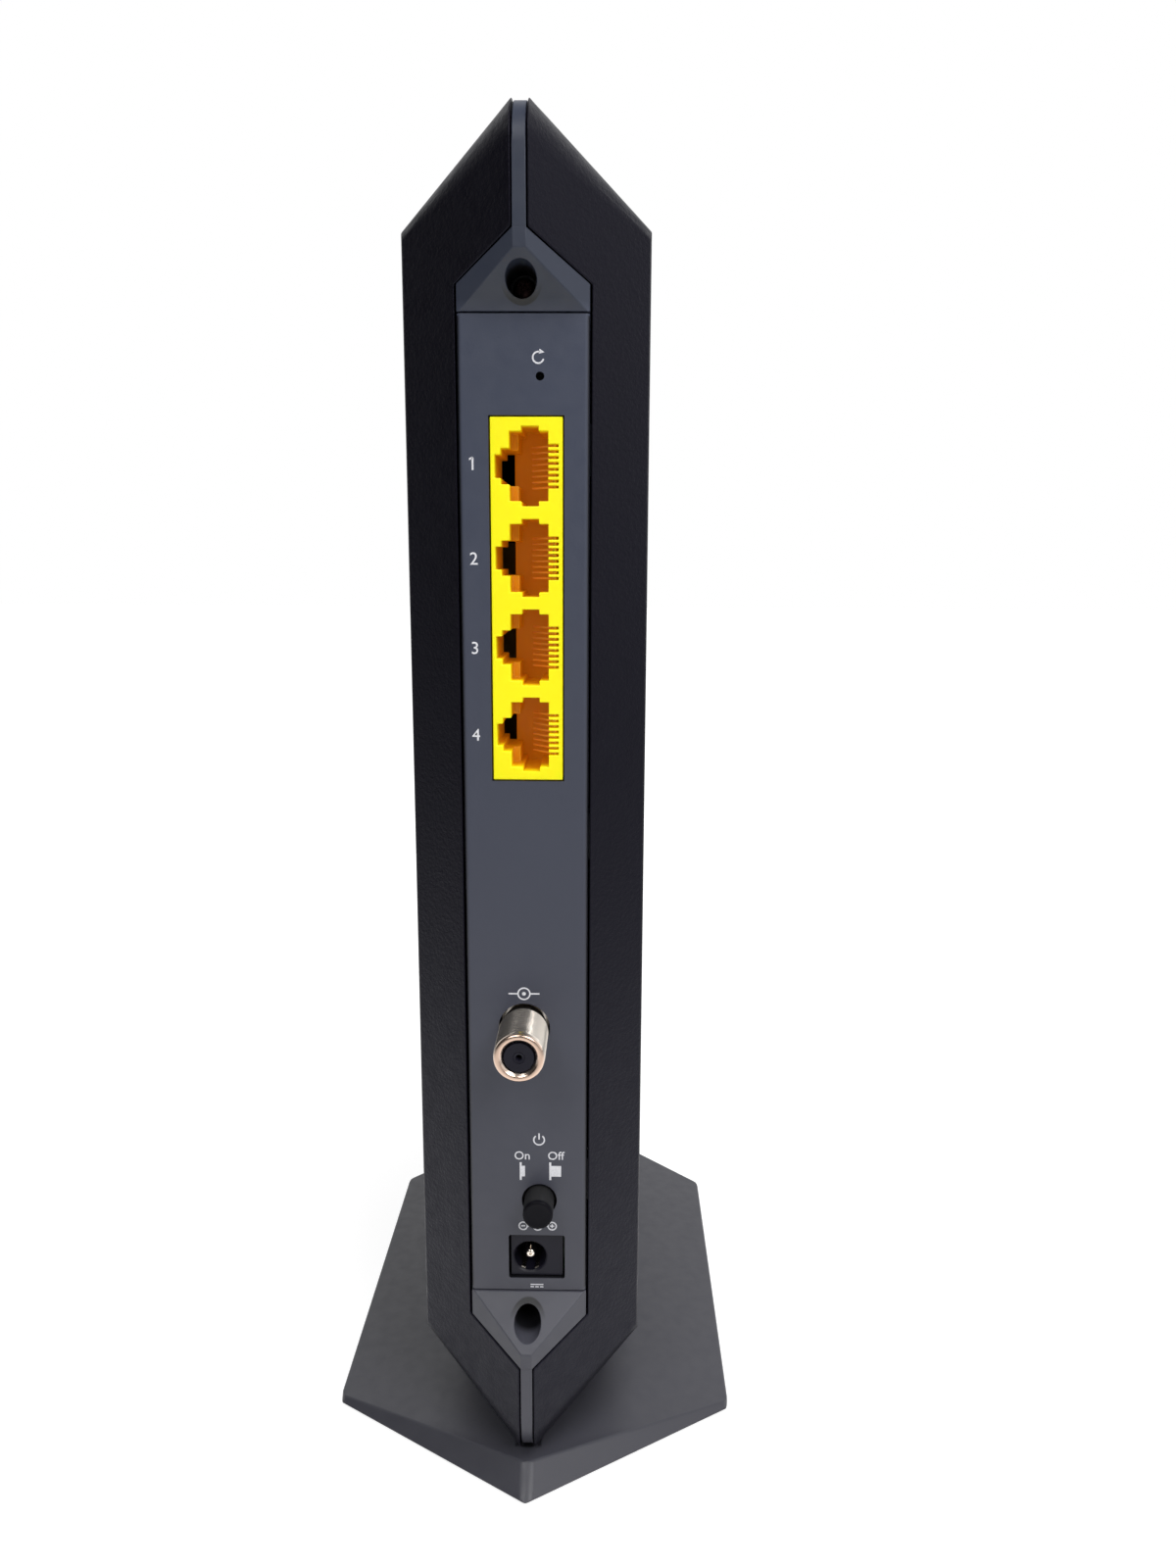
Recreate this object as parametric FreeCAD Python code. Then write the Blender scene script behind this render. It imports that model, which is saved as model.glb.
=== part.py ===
"""Upright cable modem router on its stand, built the way the product comes apart.

Units are millimetres.  The router stands on its hexagonal stand at Z = 0.  The
connector edge (the rear) looks along -Y, the indicator edge (the front) along
+Y, and +X is to the right for someone who faces the connectors.  The origin is
at the bottom centre of the whole product.
"""

import FreeCAD, Part

import math
import os

from FreeCAD import Placement, Rotation, Vector

# ---------------------------------------------------------------- body shell
BODY_WIDTH = 44.8
BODY_HEIGHT = 254.45
BODY_DEPTH = 150.0
BODY_LIFT = 4.55  # lower ridge above the table
GABLE_RISE = 17.8  # ridge to shoulder, seen from the rear
SLANT_RUN = 17.8  # end edge to side wall, seen from above
RIDGE_HALF = 1.15  # half the flat that is left along every ridge
RIDGE_ROUND = 8.5  # how far the rounded gable ends reach at the ridge
SHOULDER_ROUND = 2.6  # and at the shoulder
SIDE_ROUND = 1.2  # radius around the flat side wall
COVER_WALL = 2.0
COVER_GAP = 0.25  # reveal between a cover and the spine strip
CLEARANCE = 0.3  # between pieces that are not meant to touch

# ---------------------------------------------------------------- spine frame
STRIP_SINK = 0.4  # spine strip below the cover edges
FRAME_DEPTH = 7.0  # how far the frame's web reaches in from the outline
FLANGE_HALF = 4.8  # half width of the flange behind the covers

# ---------------------------------------------------------------- connector recess
PANEL_WIDTH = 23.2
PANEL_RECESS = 8.75  # panel face behind the rear edge
PANEL_LENGTH = 187.6
PANEL_DROP = 0.125  # panel's middle below the body's middle
PANEL_SKIN = 2.2
PANEL_FLANGE = 1.5
PANEL_REACH = 7.5  # depth of the panel's channel section
PANEL_ROUND = 0.9
PANEL_GAP = 0.35  # reveal around the panel
SEAM = 0.15  # each side of the joint between panel and facet blocks
HOOK_REACH = 1.1
HOOK_LENGTH = 9.0
FACET_SIDE = 4.65  # upper facet block beside the panel, from the seam
FACET_SIDE_LOW = 5.6  # lower facet block beside the panel
FACET_HEIGHT = 11.65  # both facet blocks on the spine, from the seam
FACET_SINK = 0.2
FACET_WALL = 2.0
FACET_DEPTH = 12.0

# ---------------------------------------------------------------- case screws
SCREW_OFFSET = 4.5  # screw axis beyond the panel's end
TUNNEL_RADIUS = 2.65
TUNNEL_WALL = 1.5
TUNNEL_DEPTH = 13.8  # rear edge to the seat of the screw head
SEAT_THICKNESS = 1.8
CASE_HEAD_RADIUS = 2.0
CASE_HEAD_HEIGHT = 1.9
CASE_SHANK_RADIUS = 1.25
CASE_SCREW_LENGTH = 10.0
TAB_THICKNESS = 1.8
BOSS_HALF = 3.5
BOSS_DEPTH = 10.0
RIB_THICKNESS = 2.4

# ---------------------------------------------------------------- cooling vents
VENT_COUNT = 13
VENT_PITCH = 4.2
VENT_WIDTH = 1.8
VENT_INNER = 5.5  # nearest and farthest edge of a slot from the ridge
VENT_OUTER = 18.5

# ---------------------------------------------------------------- main board
BOARD_X = 6.85  # component face of the board
BOARD_THICKNESS = 1.6
BOARD_REAR = 13.0  # rear edge of the board behind the body's rear edge
BOARD_FRONT_GAP = 12.0
BOARD_END_GAP = 18.0  # board ends from the ridges
BOARD_NOTCH = 15.0
BOARD_NOTCH_UP = 2.2  # board foot above the panel's lower end
BOARD_POST_HALF = 3.2
BOARD_SCREW_RADIUS = 1.25
BOARD_HEAD_ACROSS = 4.8
BOARD_HEAD_HEIGHT = 1.7
BOARD_SCREW_LENGTH = 8.0
BOARD_SCREW_INSET_Y = 24.0
BOARD_SCREW_INSET_Z = 9.0

# ---------------------------------------------------------------- connectors
JACK_UP = 105.45  # lower end of the socket block above the panel's lower end
JACK_WIDTH = 12.8
JACK_LENGTH = 64.8
JACK_DEPTH = 15.5
JACK_PROUD = 0.2
PORT_COUNT = 4
PORT_PITCH = 16.0
PORT_DEPTH = 13.5
PORT_OPENING = 12.05  # plug opening along Z
PORT_HEIGHT = 6.93  # plug opening along X
PORT_NOTCH = 3.1
PORT_NOTCH_DEPTH = 0.87
PORT_NOTCH_START = 2.15
LATCH_WIDE = 6.24
LATCH_WIDE_DEPTH = 1.53
LATCH_NARROW = 4.06
LATCH_NARROW_DEPTH = 1.07
SHOULDER_DEPTH = 6.0  # front face to the polarising shoulders
SHOULDER_WIDTH = 1.3
CONTACT_COUNT = 8
CONTACT_PITCH = 1.016
CONTACT_WIDTH = 0.4
CONTACT_SLOT = 0.56
CONTACT_SLOT_DEPTH = 1.84
CONTACT_WIRE = 0.35
SOCKET_MARGIN = 0.7  # moulding left between the contact slots and the board

COAX_X = -0.6
COAX_UP = 56.4
COAX_RADIUS = 4.7625  # 3/8 inch thread
COAX_REACH = 14.3  # end of the barrel in front of the panel
COAX_HOLE_RADIUS = 5.0
COAX_NECK_RADIUS = 4.3
COAX_NECK = 0.8  # relief between the thread and the panel
COAX_CHAMFER = 0.45
COAX_CORE_RADIUS = 2.8
COAX_SINK = 0.35  # insulator's face behind the barrel's end
COAX_HOLE = 0.55  # radius of the insulator's hole
COAX_CONTACT_RADIUS = 1.0
COAX_CONTACT_SINK = 2.0
COAX_CONTACT_SLIT = 5.0
COAX_NUT = 1.2  # how far the nut behind the panel stands past the thread
COAX_NUT_GAP = 1.0  # free space between panel and nut
COAX_BODY = 12.0

BUTTON_X = 2.2
BUTTON_UP = 19.95
BUTTON_RADIUS = 2.95
BUTTON_REACH = 5.8
BUTTON_HOLE_RADIUS = 3.5
BUTTON_TRAVEL = 3.0
BUTTON_LENGTH = 13.5
BUTTON_RIM = 0.35
BUTTON_STOP = 0.6  # how far the collar reaches past the panel's hole
BUTTON_COLLAR = 1.5
BUTTON_SOCKET = 6.0  # start of the plunger's socket behind the cap's face
PLUNGER_SIDE = 3.0
PLUNGER_ENTRY = 4.0  # length of the plunger inside the switch at rest
SWITCH_GAP = 1.0  # between the pressed cap and the switch
SWITCH_SIDE = 8.4
SWITCH_LENGTH = 12.0

INLET_X = 1.65
INLET_UP = 7.45
INLET_WIDTH = 11.3
INLET_HEIGHT = 9.6
INLET_CORNER = 0.5
INLET_JACK_WIDTH = 10.4
INLET_JACK_HEIGHT = 9.0
INLET_JACK_DEPTH = 13.5
INLET_SINK = 0.8
INLET_BORE_X = 0.25
INLET_BORE_DROP = 0.45  # bore's axis below the housing's middle
INLET_BORE_RADIUS = 3.2
INLET_BORE_DEPTH = 9.5
INLET_PIN_RADIUS = 1.0
INLET_PIN_SHORT = 0.9  # pin's tip behind the housing's face
INLET_PIN_SLIT = 4.0
INLET_LEAD_IN = 0.3
INLET_LEAF = 0.25
INLET_LEAF_SINK = 0.6
INLET_FORK = 1.8

RESET_X = 2.9
RESET_UP = 177.1
RESET_HOLE_RADIUS = 0.75
RESET_TRAVEL = 0.3
RESET_PLUNGER_RADIUS = 1.1
RESET_PLUNGER_ENTRY = 2.0
RESET_SWITCH_WIDTH = 6.0
RESET_SWITCH_DEPTH = 3.6
RESET_SWITCH_SETBACK = 0.6  # from the board's rear edge

# ---------------------------------------------------------------- board components
# Centre along Y behind the board's rear edge, centre above the
# panel's lower end, size along Y, size along Z and height above the board.
PROCESSOR = (69.0, 127.0, 27.0, 27.0, 1.4)
PAD_THICKNESS = 0.5
PAD_MARGIN = 2.0
SINK_SIDE = 44.0
SINK_BASE = 3.0
SINK_FIN_HEIGHT = 12.0
SINK_FIN_COUNT = 9
SINK_FIN_THICKNESS = 1.2
SINK_PIN_RADIUS = 1.0
SINK_PIN_HEAD = 1.5
SINK_PIN_WIDE = 4.0
SINK_PIN_BARB = 1.2
SINK_PIN_INSET = 3.0
TUNER_CAN = (37.0, 56.6, 42.0, 38.0, 5.0)
CAN_SHEET = 0.3
CAN_SLIP = 0.1
LID_SKIRT = 3.5
LID_SLOT_COUNT = 5
LID_SLOT_PITCH = 7.0
LID_SLOT_WIDTH = 1.6
LID_SLOT_LENGTH = 12.0
PACKAGES = {
    "memory_chip_1": (103.0, 137.0, 12.0, 8.0, 1.1),
    "memory_chip_2": (103.0, 117.0, 12.0, 8.0, 1.1),
    "flash_chip": (94.0, 92.0, 8.0, 6.0, 1.6),
    "ethernet_chip": (31.0, 152.0, 14.0, 14.0, 1.0),
    "wifi_chip_1": (46.0, 178.0, 10.0, 10.0, 0.9),
    "wifi_chip_2": (88.0, 178.0, 10.0, 10.0, 0.9),
    "magnetics_1": (19.0, 124.0, 7.5, 15.0, 5.5),
    "magnetics_2": (19.0, 105.0, 7.5, 15.0, 5.5),
    "crystal": (74.0, 98.0, 4.5, 10.5, 3.4),
    "inductor_1": (62.0, 8.0, 7.6, 7.6, 4.2),
    "inductor_2": (62.0, 22.0, 7.6, 7.6, 4.2),
}
CAPACITORS = {  # centre along Y, centre along Z, radius, height
    "capacitor_1": (30.0, 10.0, 4.0, 11.5),
    "capacitor_2": (42.0, 10.0, 4.0, 11.5),
    "capacitor_3": (42.0, 24.0, 3.15, 11.0),
}
ANTENNAS = {"wifi_antenna_1": 30.0, "wifi_antenna_2": 78.0}
ANTENNA_LENGTH = 22.0
ANTENNA_LIFT = 7.0
ANTENNA_SHEET = 0.4
ANTENNA_STRIP = 4.0

# ---------------------------------------------------------------- indicators
LED_COUNT = 7
LED_PITCH = 12.0
LED_UP = 96.0  # lowest indicator above the lower ridge
LED_WIDTH = 2.2
LED_DEPTH = 1.8
LED_HEIGHT = 1.6
LENS_HALF = 3.0
LENS_MARGIN = 7.0
LENS_SKIN = 2.0
LENS_WALL = 1.3
LENS_LIP = 1.0  # how far the lip reaches past the window, behind the frame
LENS_LIP_THICKNESS = 1.2
GUIDE_THICKNESS = 2.6

# ---------------------------------------------------------------- stand
STAND_WIDTH = 85.4
STAND_DEPTH = 163.05
STAND_OVERHANG = 5.8  # stand's rear point behind the body's rear edge
STAND_REAR_RUN = 27.8
STAND_FRONT_RUN = 40.7
STAND_CREST = 5.6  # top of the roofed plate above the table
STAND_EDGE = 1.7  # and at its side edges
STAND_LEAN = 0.9  # inward lean of the pointed ends for each millimetre of height
STAND_SKIN = 1.8
STAND_RIM = 7.0
STAND_RIB = 1.6
SADDLE_THICKNESS = 4.0
SADDLE_HALF = 17.0
SADDLE_INSET = 38.0  # saddles from the body's end edges
LATCH_X = 6.6
LATCH_THICKNESS = 2.0
LATCH_BARB = 1.3
LATCH_LENGTH = 7.0
FOOT_ACROSS = 9.0
FOOT_THICKNESS = 1.2
FOOT_PROUD = 0.6
FOOT_INSET = 11.0

# ---------------------------------------------------------------- derived places
LOW_RIDGE = BODY_LIFT
HIGH_RIDGE = BODY_LIFT + BODY_HEIGHT
MID_Z = BODY_LIFT + BODY_HEIGHT / 2
REARMOST = min(PANEL_RECESS - COAX_REACH, -STAND_OVERHANG)
FOREMOST = STAND_DEPTH - STAND_OVERHANG
REAR_Y = -(REARMOST + FOREMOST) / 2
FRONT_Y = REAR_Y + BODY_DEPTH
GABLE_ANGLE = math.atan2(GABLE_RISE, BODY_WIDTH / 2 - RIDGE_HALF)
SLANT_ANGLE = math.atan2(SLANT_RUN, BODY_WIDTH / 2 - RIDGE_HALF)
PANEL_LOW = MID_Z - PANEL_DROP - PANEL_LENGTH / 2
PANEL_HIGH = PANEL_LOW + PANEL_LENGTH
PANEL_Y = REAR_Y + PANEL_RECESS
BOARD_Y0 = REAR_Y + BOARD_REAR
BOARD_Y1 = FRONT_Y - BOARD_FRONT_GAP
BOARD_Z0 = LOW_RIDGE + BOARD_END_GAP
BOARD_Z1 = HIGH_RIDGE - BOARD_END_GAP
NOTCH_LOW = PANEL_LOW + BOARD_NOTCH_UP
NOTCH_HIGH = PANEL_HIGH - BOARD_NOTCH_UP
JACK_Y = PANEL_Y - JACK_PROUD
JACK_Z = PANEL_LOW + JACK_UP
SOCKET_X1 = BOARD_X - SOCKET_MARGIN - CONTACT_SLOT_DEPTH
SOCKET_X0 = SOCKET_X1 - PORT_HEIGHT
COAX_Z = PANEL_LOW + COAX_UP
BUTTON_Z = PANEL_LOW + BUTTON_UP
INLET_Z = PANEL_LOW + INLET_UP
RESET_Z = PANEL_LOW + RESET_UP
LED_Z = LOW_RIDGE + LED_UP
LED_SPAN = LED_PITCH * (LED_COUNT - 1)
SCREW_ENDS = ((PANEL_HIGH, 1), (PANEL_LOW, -1))
X_AXIS = Vector(1, 0, 0)
Y_AXIS = Vector(0, 1, 0)
Z_AXIS = Vector(0, 0, 1)
FAR = 400.0  # longer than the product, for cutting tools


# ---------------------------------------------------------------- shape helpers
def block(x0, x1, y0, y1, z0, z1):
    """Box between two corners."""
    return Part.makeBox(x1 - x0, y1 - y0, z1 - z0, Vector(x0, y0, z0))


def rod(centre, axis, radius, length):
    """Cylinder from a point along an axis."""
    return Part.makeCylinder(radius, length, centre, axis)


def ring(centre, axis, outer, inner, length):
    """Tube from a point along an axis."""
    return rod(centre, axis, outer, length).cut(rod(centre, axis, inner, length))


def hex_bar(centre, axis, across, length):
    """Hexagonal bar from a point along an axis, by its width across flats."""
    side = Z_AXIS if abs(axis.y) > 0.5 else Y_AXIS
    corner = side * (across / math.sqrt(3))
    points = [centre + Rotation(axis, 60 * turn).multVec(corner) for turn in range(6)]
    return prism(points, axis * length)


def prism(points, direction):
    """Straight extrusion of a closed polygon."""
    wire = Part.makePolygon(points + points[:1])
    return Part.Face(wire).extrude(direction)


def prism_xy(outline, z0, z1):
    return prism([Vector(x, y, z0) for x, y in outline], Vector(0, 0, z1 - z0))


def prism_xz(outline, y0, y1):
    return prism([Vector(x, y0, z) for x, z in outline], Vector(0, y1 - y0, 0))


def prism_yz(outline, x0, x1):
    return prism([Vector(x0, y, z) for y, z in outline], Vector(x1 - x0, 0, 0))


def fuse_all(shapes):
    """One clean solid out of several that meet."""
    first, rest = shapes[0], list(shapes[1:])
    return first.fuse(rest).removeSplitter() if rest else first


def cut_all(shape, tools):
    return shape.cut(list(tools)) if tools else shape


def beyond(point, normal):
    """Everything on the outward side of a plane."""
    half = Part.makeBox(2 * FAR, 2 * FAR, 2 * FAR, Vector(-FAR, -FAR, 0))
    half.Placement = Placement(point, Rotation(Z_AXIS, normal))
    return half


def mirrored(shape):
    return shape.mirror(Vector(0, 0, 0), X_AXIS)


# ---------------------------------------------------------------- body envelope
def gable_planes():
    """The four sloping roof faces, as a point and an outward normal."""
    lean, rise = math.sin(GABLE_ANGLE), math.cos(GABLE_ANGLE)
    for side in (-1, 1):
        yield Vector(side * RIDGE_HALF, 0, HIGH_RIDGE), Vector(side * lean, 0, rise)
        yield Vector(side * RIDGE_HALF, 0, LOW_RIDGE), Vector(side * lean, 0, -rise)


def slant_planes():
    """The four upright faces that run back from the rear and front edges."""
    lean, run = math.sin(SLANT_ANGLE), math.cos(SLANT_ANGLE)
    for side in (-1, 1):
        yield Vector(side * RIDGE_HALF, REAR_Y, 0), Vector(side * lean, -run, 0)
        yield Vector(side * RIDGE_HALF, FRONT_Y, 0), Vector(side * lean, run, 0)


def bevel_planes():
    """Flats that lie just inside the rounded gable ends."""
    for side in (-1, 1):
        for ridge, up in ((HIGH_RIDGE, 1), (LOW_RIDGE, -1)):
            for end, out in ((REAR_Y, -1), (FRONT_Y, 1)):
                low = Vector(side * RIDGE_HALF, end, ridge - up * RIDGE_ROUND)
                high = Vector(side * RIDGE_HALF, end - out * RIDGE_ROUND, ridge)
                corner = Vector(
                    side * BODY_WIDTH / 2,
                    end - out * SLANT_RUN,
                    ridge - up * (GABLE_RISE + SHOULDER_ROUND),
                )
                normal = (high - low).cross(corner - low).normalize()
                facing = normal.y * out + normal.z * up
                yield low, normal if facing > 0 else -normal


def envelope(inset, bevel_inset=None):
    """Body outline moved inwards; with bevel_inset its gable ends are bevelled too."""
    solid = block(
        -BODY_WIDTH / 2 + inset, BODY_WIDTH / 2 - inset,
        REAR_Y + inset, FRONT_Y - inset,
        LOW_RIDGE + inset, HIGH_RIDGE - inset,
    )
    for point, normal in list(gable_planes()) + list(slant_planes()):
        solid = solid.cut(beyond(point - normal * inset, normal))
    if bevel_inset is not None:
        for point, normal in bevel_planes():
            solid = solid.cut(beyond(point - normal * bevel_inset, normal))
    return solid


def round_radius(reach):
    """Radius of a gable-end rounding that reaches this far down the end face."""
    run, rise = math.tan(SLANT_ANGLE), math.tan(GABLE_ANGLE)
    across = math.sqrt((1 + run * run) / (1 + run * run + rise * rise))
    between = math.acos(math.sin(SLANT_ANGLE) * math.sin(GABLE_ANGLE))
    return reach * across / math.tan(between / 2)


def gable_ends():
    """Ridge end, shoulder, roof normal and end-face normal of the right half's corners."""
    for ridge, up in ((HIGH_RIDGE, 1), (LOW_RIDGE, -1)):
        for end, out in ((REAR_Y, -1), (FRONT_Y, 1)):
            tip = Vector(RIDGE_HALF, end, ridge)
            shoulder = Vector(BODY_WIDTH / 2, end - out * SLANT_RUN, ridge - up * GABLE_RISE)
            roof = Vector(math.sin(GABLE_ANGLE), 0, up * math.cos(GABLE_ANGLE))
            face = Vector(math.sin(SLANT_ANGLE), out * math.cos(SLANT_ANGLE), 0)
            yield tip, shoulder, roof, face


def round_gable_end(solid, tip, shoulder, roof, face):
    """Round one edge with a cone that touches both faces and narrows to the shoulder."""
    wide, narrow = round_radius(RIDGE_ROUND), round_radius(SHOULDER_ROUND)
    apex = tip + (shoulder - tip) * (wide / (wide - narrow))
    centre = tip - (roof + face) * (wide / (1 + roof.dot(face)))
    axis = centre - apex
    length = axis.Length * 1.5
    spread = math.asin(wide / axis.Length)
    cone = Part.makeCone(0, length * math.tan(spread), length, apex, axis)
    along_roof, along_face = centre + roof * wide - apex, centre + face * wide - apex
    outward = along_roof.cross(along_face).normalize()
    if outward.dot(roof) < 0:
        outward = -outward
    return solid.cut(solid.common(beyond(apex, outward)).cut(cone))


def is_side_edge(edge):
    """Edges that surround the flat side wall."""
    return edge.BoundBox.XMin > BODY_WIDTH / 2 - CLEARANCE


def rounded_half():
    """Right half of the body with rounded gable ends and a softened side wall."""
    solid = envelope(0).common(block(RIDGE_HALF + COVER_GAP, FAR, -FAR, FAR, 0, FAR))
    solid = solid.makeFillet(SIDE_ROUND, [e for e in solid.Edges if is_side_edge(e)])
    for corner in gable_ends():
        solid = round_gable_end(solid, *corner)
    return solid


# ---------------------------------------------------------------- recess outlines
def recess_outline(grow=0.0):
    """Six-sided recess seen from the rear: panel and both facet blocks."""
    half = PANEL_WIDTH / 2 + grow
    side_low = PANEL_LOW - FACET_SIDE_LOW
    side_high = PANEL_HIGH + FACET_SIDE
    tip_low = PANEL_LOW - FACET_HEIGHT - grow
    tip_high = PANEL_HIGH + FACET_HEIGHT + grow
    return [
        (-half, side_low), (-RIDGE_HALF, tip_low), (RIDGE_HALF, tip_low),
        (half, side_low), (half, side_high), (RIDGE_HALF, tip_high),
        (-RIDGE_HALF, tip_high), (-half, side_high),
    ]


def facet_plane(seam, up, inset=0.0):
    """Forty-five degree facet that rises from the panel's end to the spine."""
    normal = Vector(0, -1, -up).normalize()
    return Vector(0, PANEL_Y, seam) - normal * inset, normal


# ---------------------------------------------------------------- side covers
def vent_slots():
    """Rows of slots through the upper and lower roof faces of the right cover."""
    middle = (REAR_Y + FRONT_Y) / 2
    first = middle - VENT_PITCH * (VENT_COUNT - 1) / 2
    slots = []
    for index in range(VENT_COUNT):
        y = first + index * VENT_PITCH
        for z0, z1 in ((0, LOW_RIDGE + GABLE_RISE), (HIGH_RIDGE - GABLE_RISE, FAR)):
            slots.append(block(VENT_INNER, VENT_OUTER, y - VENT_WIDTH / 2,
                               y + VENT_WIDTH / 2, z0, z1))
    return slots


def saddle_places():
    return REAR_Y + SADDLE_INSET, FRONT_Y - SADDLE_INSET


def latch_openings():
    """Openings in the right cover's lower roof face for the stand's latches."""
    x1 = LATCH_X + LATCH_THICKNESS + LATCH_BARB + CLEARANCE
    reach = LATCH_LENGTH / 2 + CLEARANCE
    top = LOW_RIDGE + GABLE_RISE
    return [block(LATCH_X - CLEARANCE, x1, y - reach, y + reach, 0, top)
            for y in saddle_places()]


def lens_window():
    """Opening through covers and frame for the indicator lens."""
    half = LENS_HALF + COVER_GAP
    low, high = lens_span(COVER_GAP)
    return block(-half, half, FRONT_Y - FRAME_DEPTH - COVER_WALL, FRONT_Y + 1, low, high)


def cover_blank():
    """Right cover as moulded: hollow, with recess, vents and latch openings."""
    hollow = envelope(COVER_WALL, COVER_WALL * 0.6)
    recess = prism_xz(recess_outline(PANEL_GAP), REAR_Y - 1, PANEL_Y + PANEL_SKIN + COVER_WALL)
    lens = lens_window()
    tools = [hollow, recess, lens] + vent_slots() + latch_openings()
    return cut_all(rounded_half(), tools)


def screw_axis_z(seam, up):
    return seam + up * SCREW_OFFSET


def case_boss_y():
    """Where the left tab and the right boss start behind the tunnel's seat."""
    tab = REAR_Y + TUNNEL_DEPTH + SEAT_THICKNESS
    return tab, tab + TAB_THICKNESS


def board_holes():
    """Y and Z of the four board screws."""
    low, high = BOARD_Z0 + BOARD_SCREW_INSET_Z, BOARD_Z1 - BOARD_SCREW_INSET_Z
    rear, front = BOARD_Y0 + BOARD_SCREW_INSET_Y, BOARD_Y1 - BOARD_SCREW_INSET_Y
    return [(y, z) for y in (rear, front) for z in (low, high)]


def within_walls(parts):
    """Inner features trimmed so that they end inside the thickness of the walls."""
    limit = envelope(COVER_WALL / 2, COVER_WALL / 2)
    return [part.common(limit) for part in parts]


def right_cover():
    """Right cover with the bosses for the board and for both case screws."""
    wall = BODY_WIDTH / 2
    board_back = BOARD_X + BOARD_THICKNESS
    parts, holes = [], []
    for y, z in board_holes():
        centre = Vector(board_back, y, z)
        parts.append(block(board_back, wall, y - BOARD_POST_HALF, y + BOARD_POST_HALF,
                           z - BOARD_POST_HALF, z + BOARD_POST_HALF))
        holes.append(rod(centre, X_AXIS, BOARD_SCREW_RADIUS, wall - board_back - COVER_WALL))
    _, boss_y = case_boss_y()
    for seam, up in SCREW_ENDS:
        z = screw_axis_z(seam, up)
        parts.append(block(-BOSS_HALF, BOSS_HALF, boss_y, boss_y + BOSS_DEPTH,
                           z - BOSS_HALF, z + BOSS_HALF))
        parts.append(block(0, wall, boss_y, boss_y + BOSS_DEPTH,
                           z - RIB_THICKNESS / 2, z + RIB_THICKNESS / 2))
        holes.append(rod(Vector(0, boss_y - 1, z), Y_AXIS, CASE_SHANK_RADIUS, BOSS_DEPTH))
    return cut_all(fuse_all([cover_blank()] + within_walls(parts)), holes)


def left_cover():
    """Left cover with a tab under each case screw."""
    wall = BODY_WIDTH / 2
    parts, holes = [], []
    tab_y, _ = case_boss_y()
    for seam, up in SCREW_ENDS:
        z = screw_axis_z(seam, up)
        parts.append(block(-wall, BOSS_HALF, tab_y, tab_y + TAB_THICKNESS,
                           z - BOSS_HALF, z + BOSS_HALF))
        holes.append(rod(Vector(0, tab_y - 1, z), Y_AXIS,
                         CASE_SHANK_RADIUS + CLEARANCE / 2, TAB_THICKNESS + 2))
    return cut_all(fuse_all([mirrored(cover_blank())] + within_walls(parts)), holes)


# ---------------------------------------------------------------- spine frame
def spine_outline(inset, radius):
    """Side view of the frame: a rounded rectangle inside the body outline."""
    sheet = block(-FAR, FAR, REAR_Y + inset, FRONT_Y - inset,
                  LOW_RIDGE + inset, HIGH_RIDGE - inset)
    corners = [e for e in sheet.Edges if abs(e.tangentAt(e.FirstParameter).x) > 0.9]
    return sheet.makeFillet(radius, corners)


def facet_block(seam, up):
    """Hollow triangular block with a facet face and a tunnel for one case screw."""
    half_band = block(-FAR, FAR, -FAR, REAR_Y + FACET_DEPTH,
                      *sorted((seam + up * SEAM, seam + up * FAR)))
    outline = prism_xz(recess_outline(), REAR_Y - 1, REAR_Y + FACET_DEPTH)
    solid = envelope(FACET_SINK).common(outline).common(half_band)
    solid = solid.cut(beyond(*facet_plane(seam, up)))
    inner = prism_xz(recess_outline(-FACET_WALL), REAR_Y - 1, REAR_Y + FACET_DEPTH)
    pocket_band = block(-FAR, FAR, -FAR, FAR,
                        *sorted((seam + up * FACET_WALL, seam + up * FAR)))
    pocket = envelope(FACET_WALL + FACET_SINK).common(inner).common(pocket_band)
    pocket = pocket.cut(beyond(*facet_plane(seam, up, FACET_WALL)))
    z = screw_axis_z(seam, up)
    half = TUNNEL_RADIUS + TUNNEL_WALL
    tunnel = block(-half, half, REAR_Y, REAR_Y + TUNNEL_DEPTH + SEAT_THICKNESS,
                   z - half, z + half)
    tunnel = tunnel.common(envelope(FACET_SINK)).cut(beyond(*facet_plane(seam, up)))
    return solid.cut(pocket), tunnel


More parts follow.
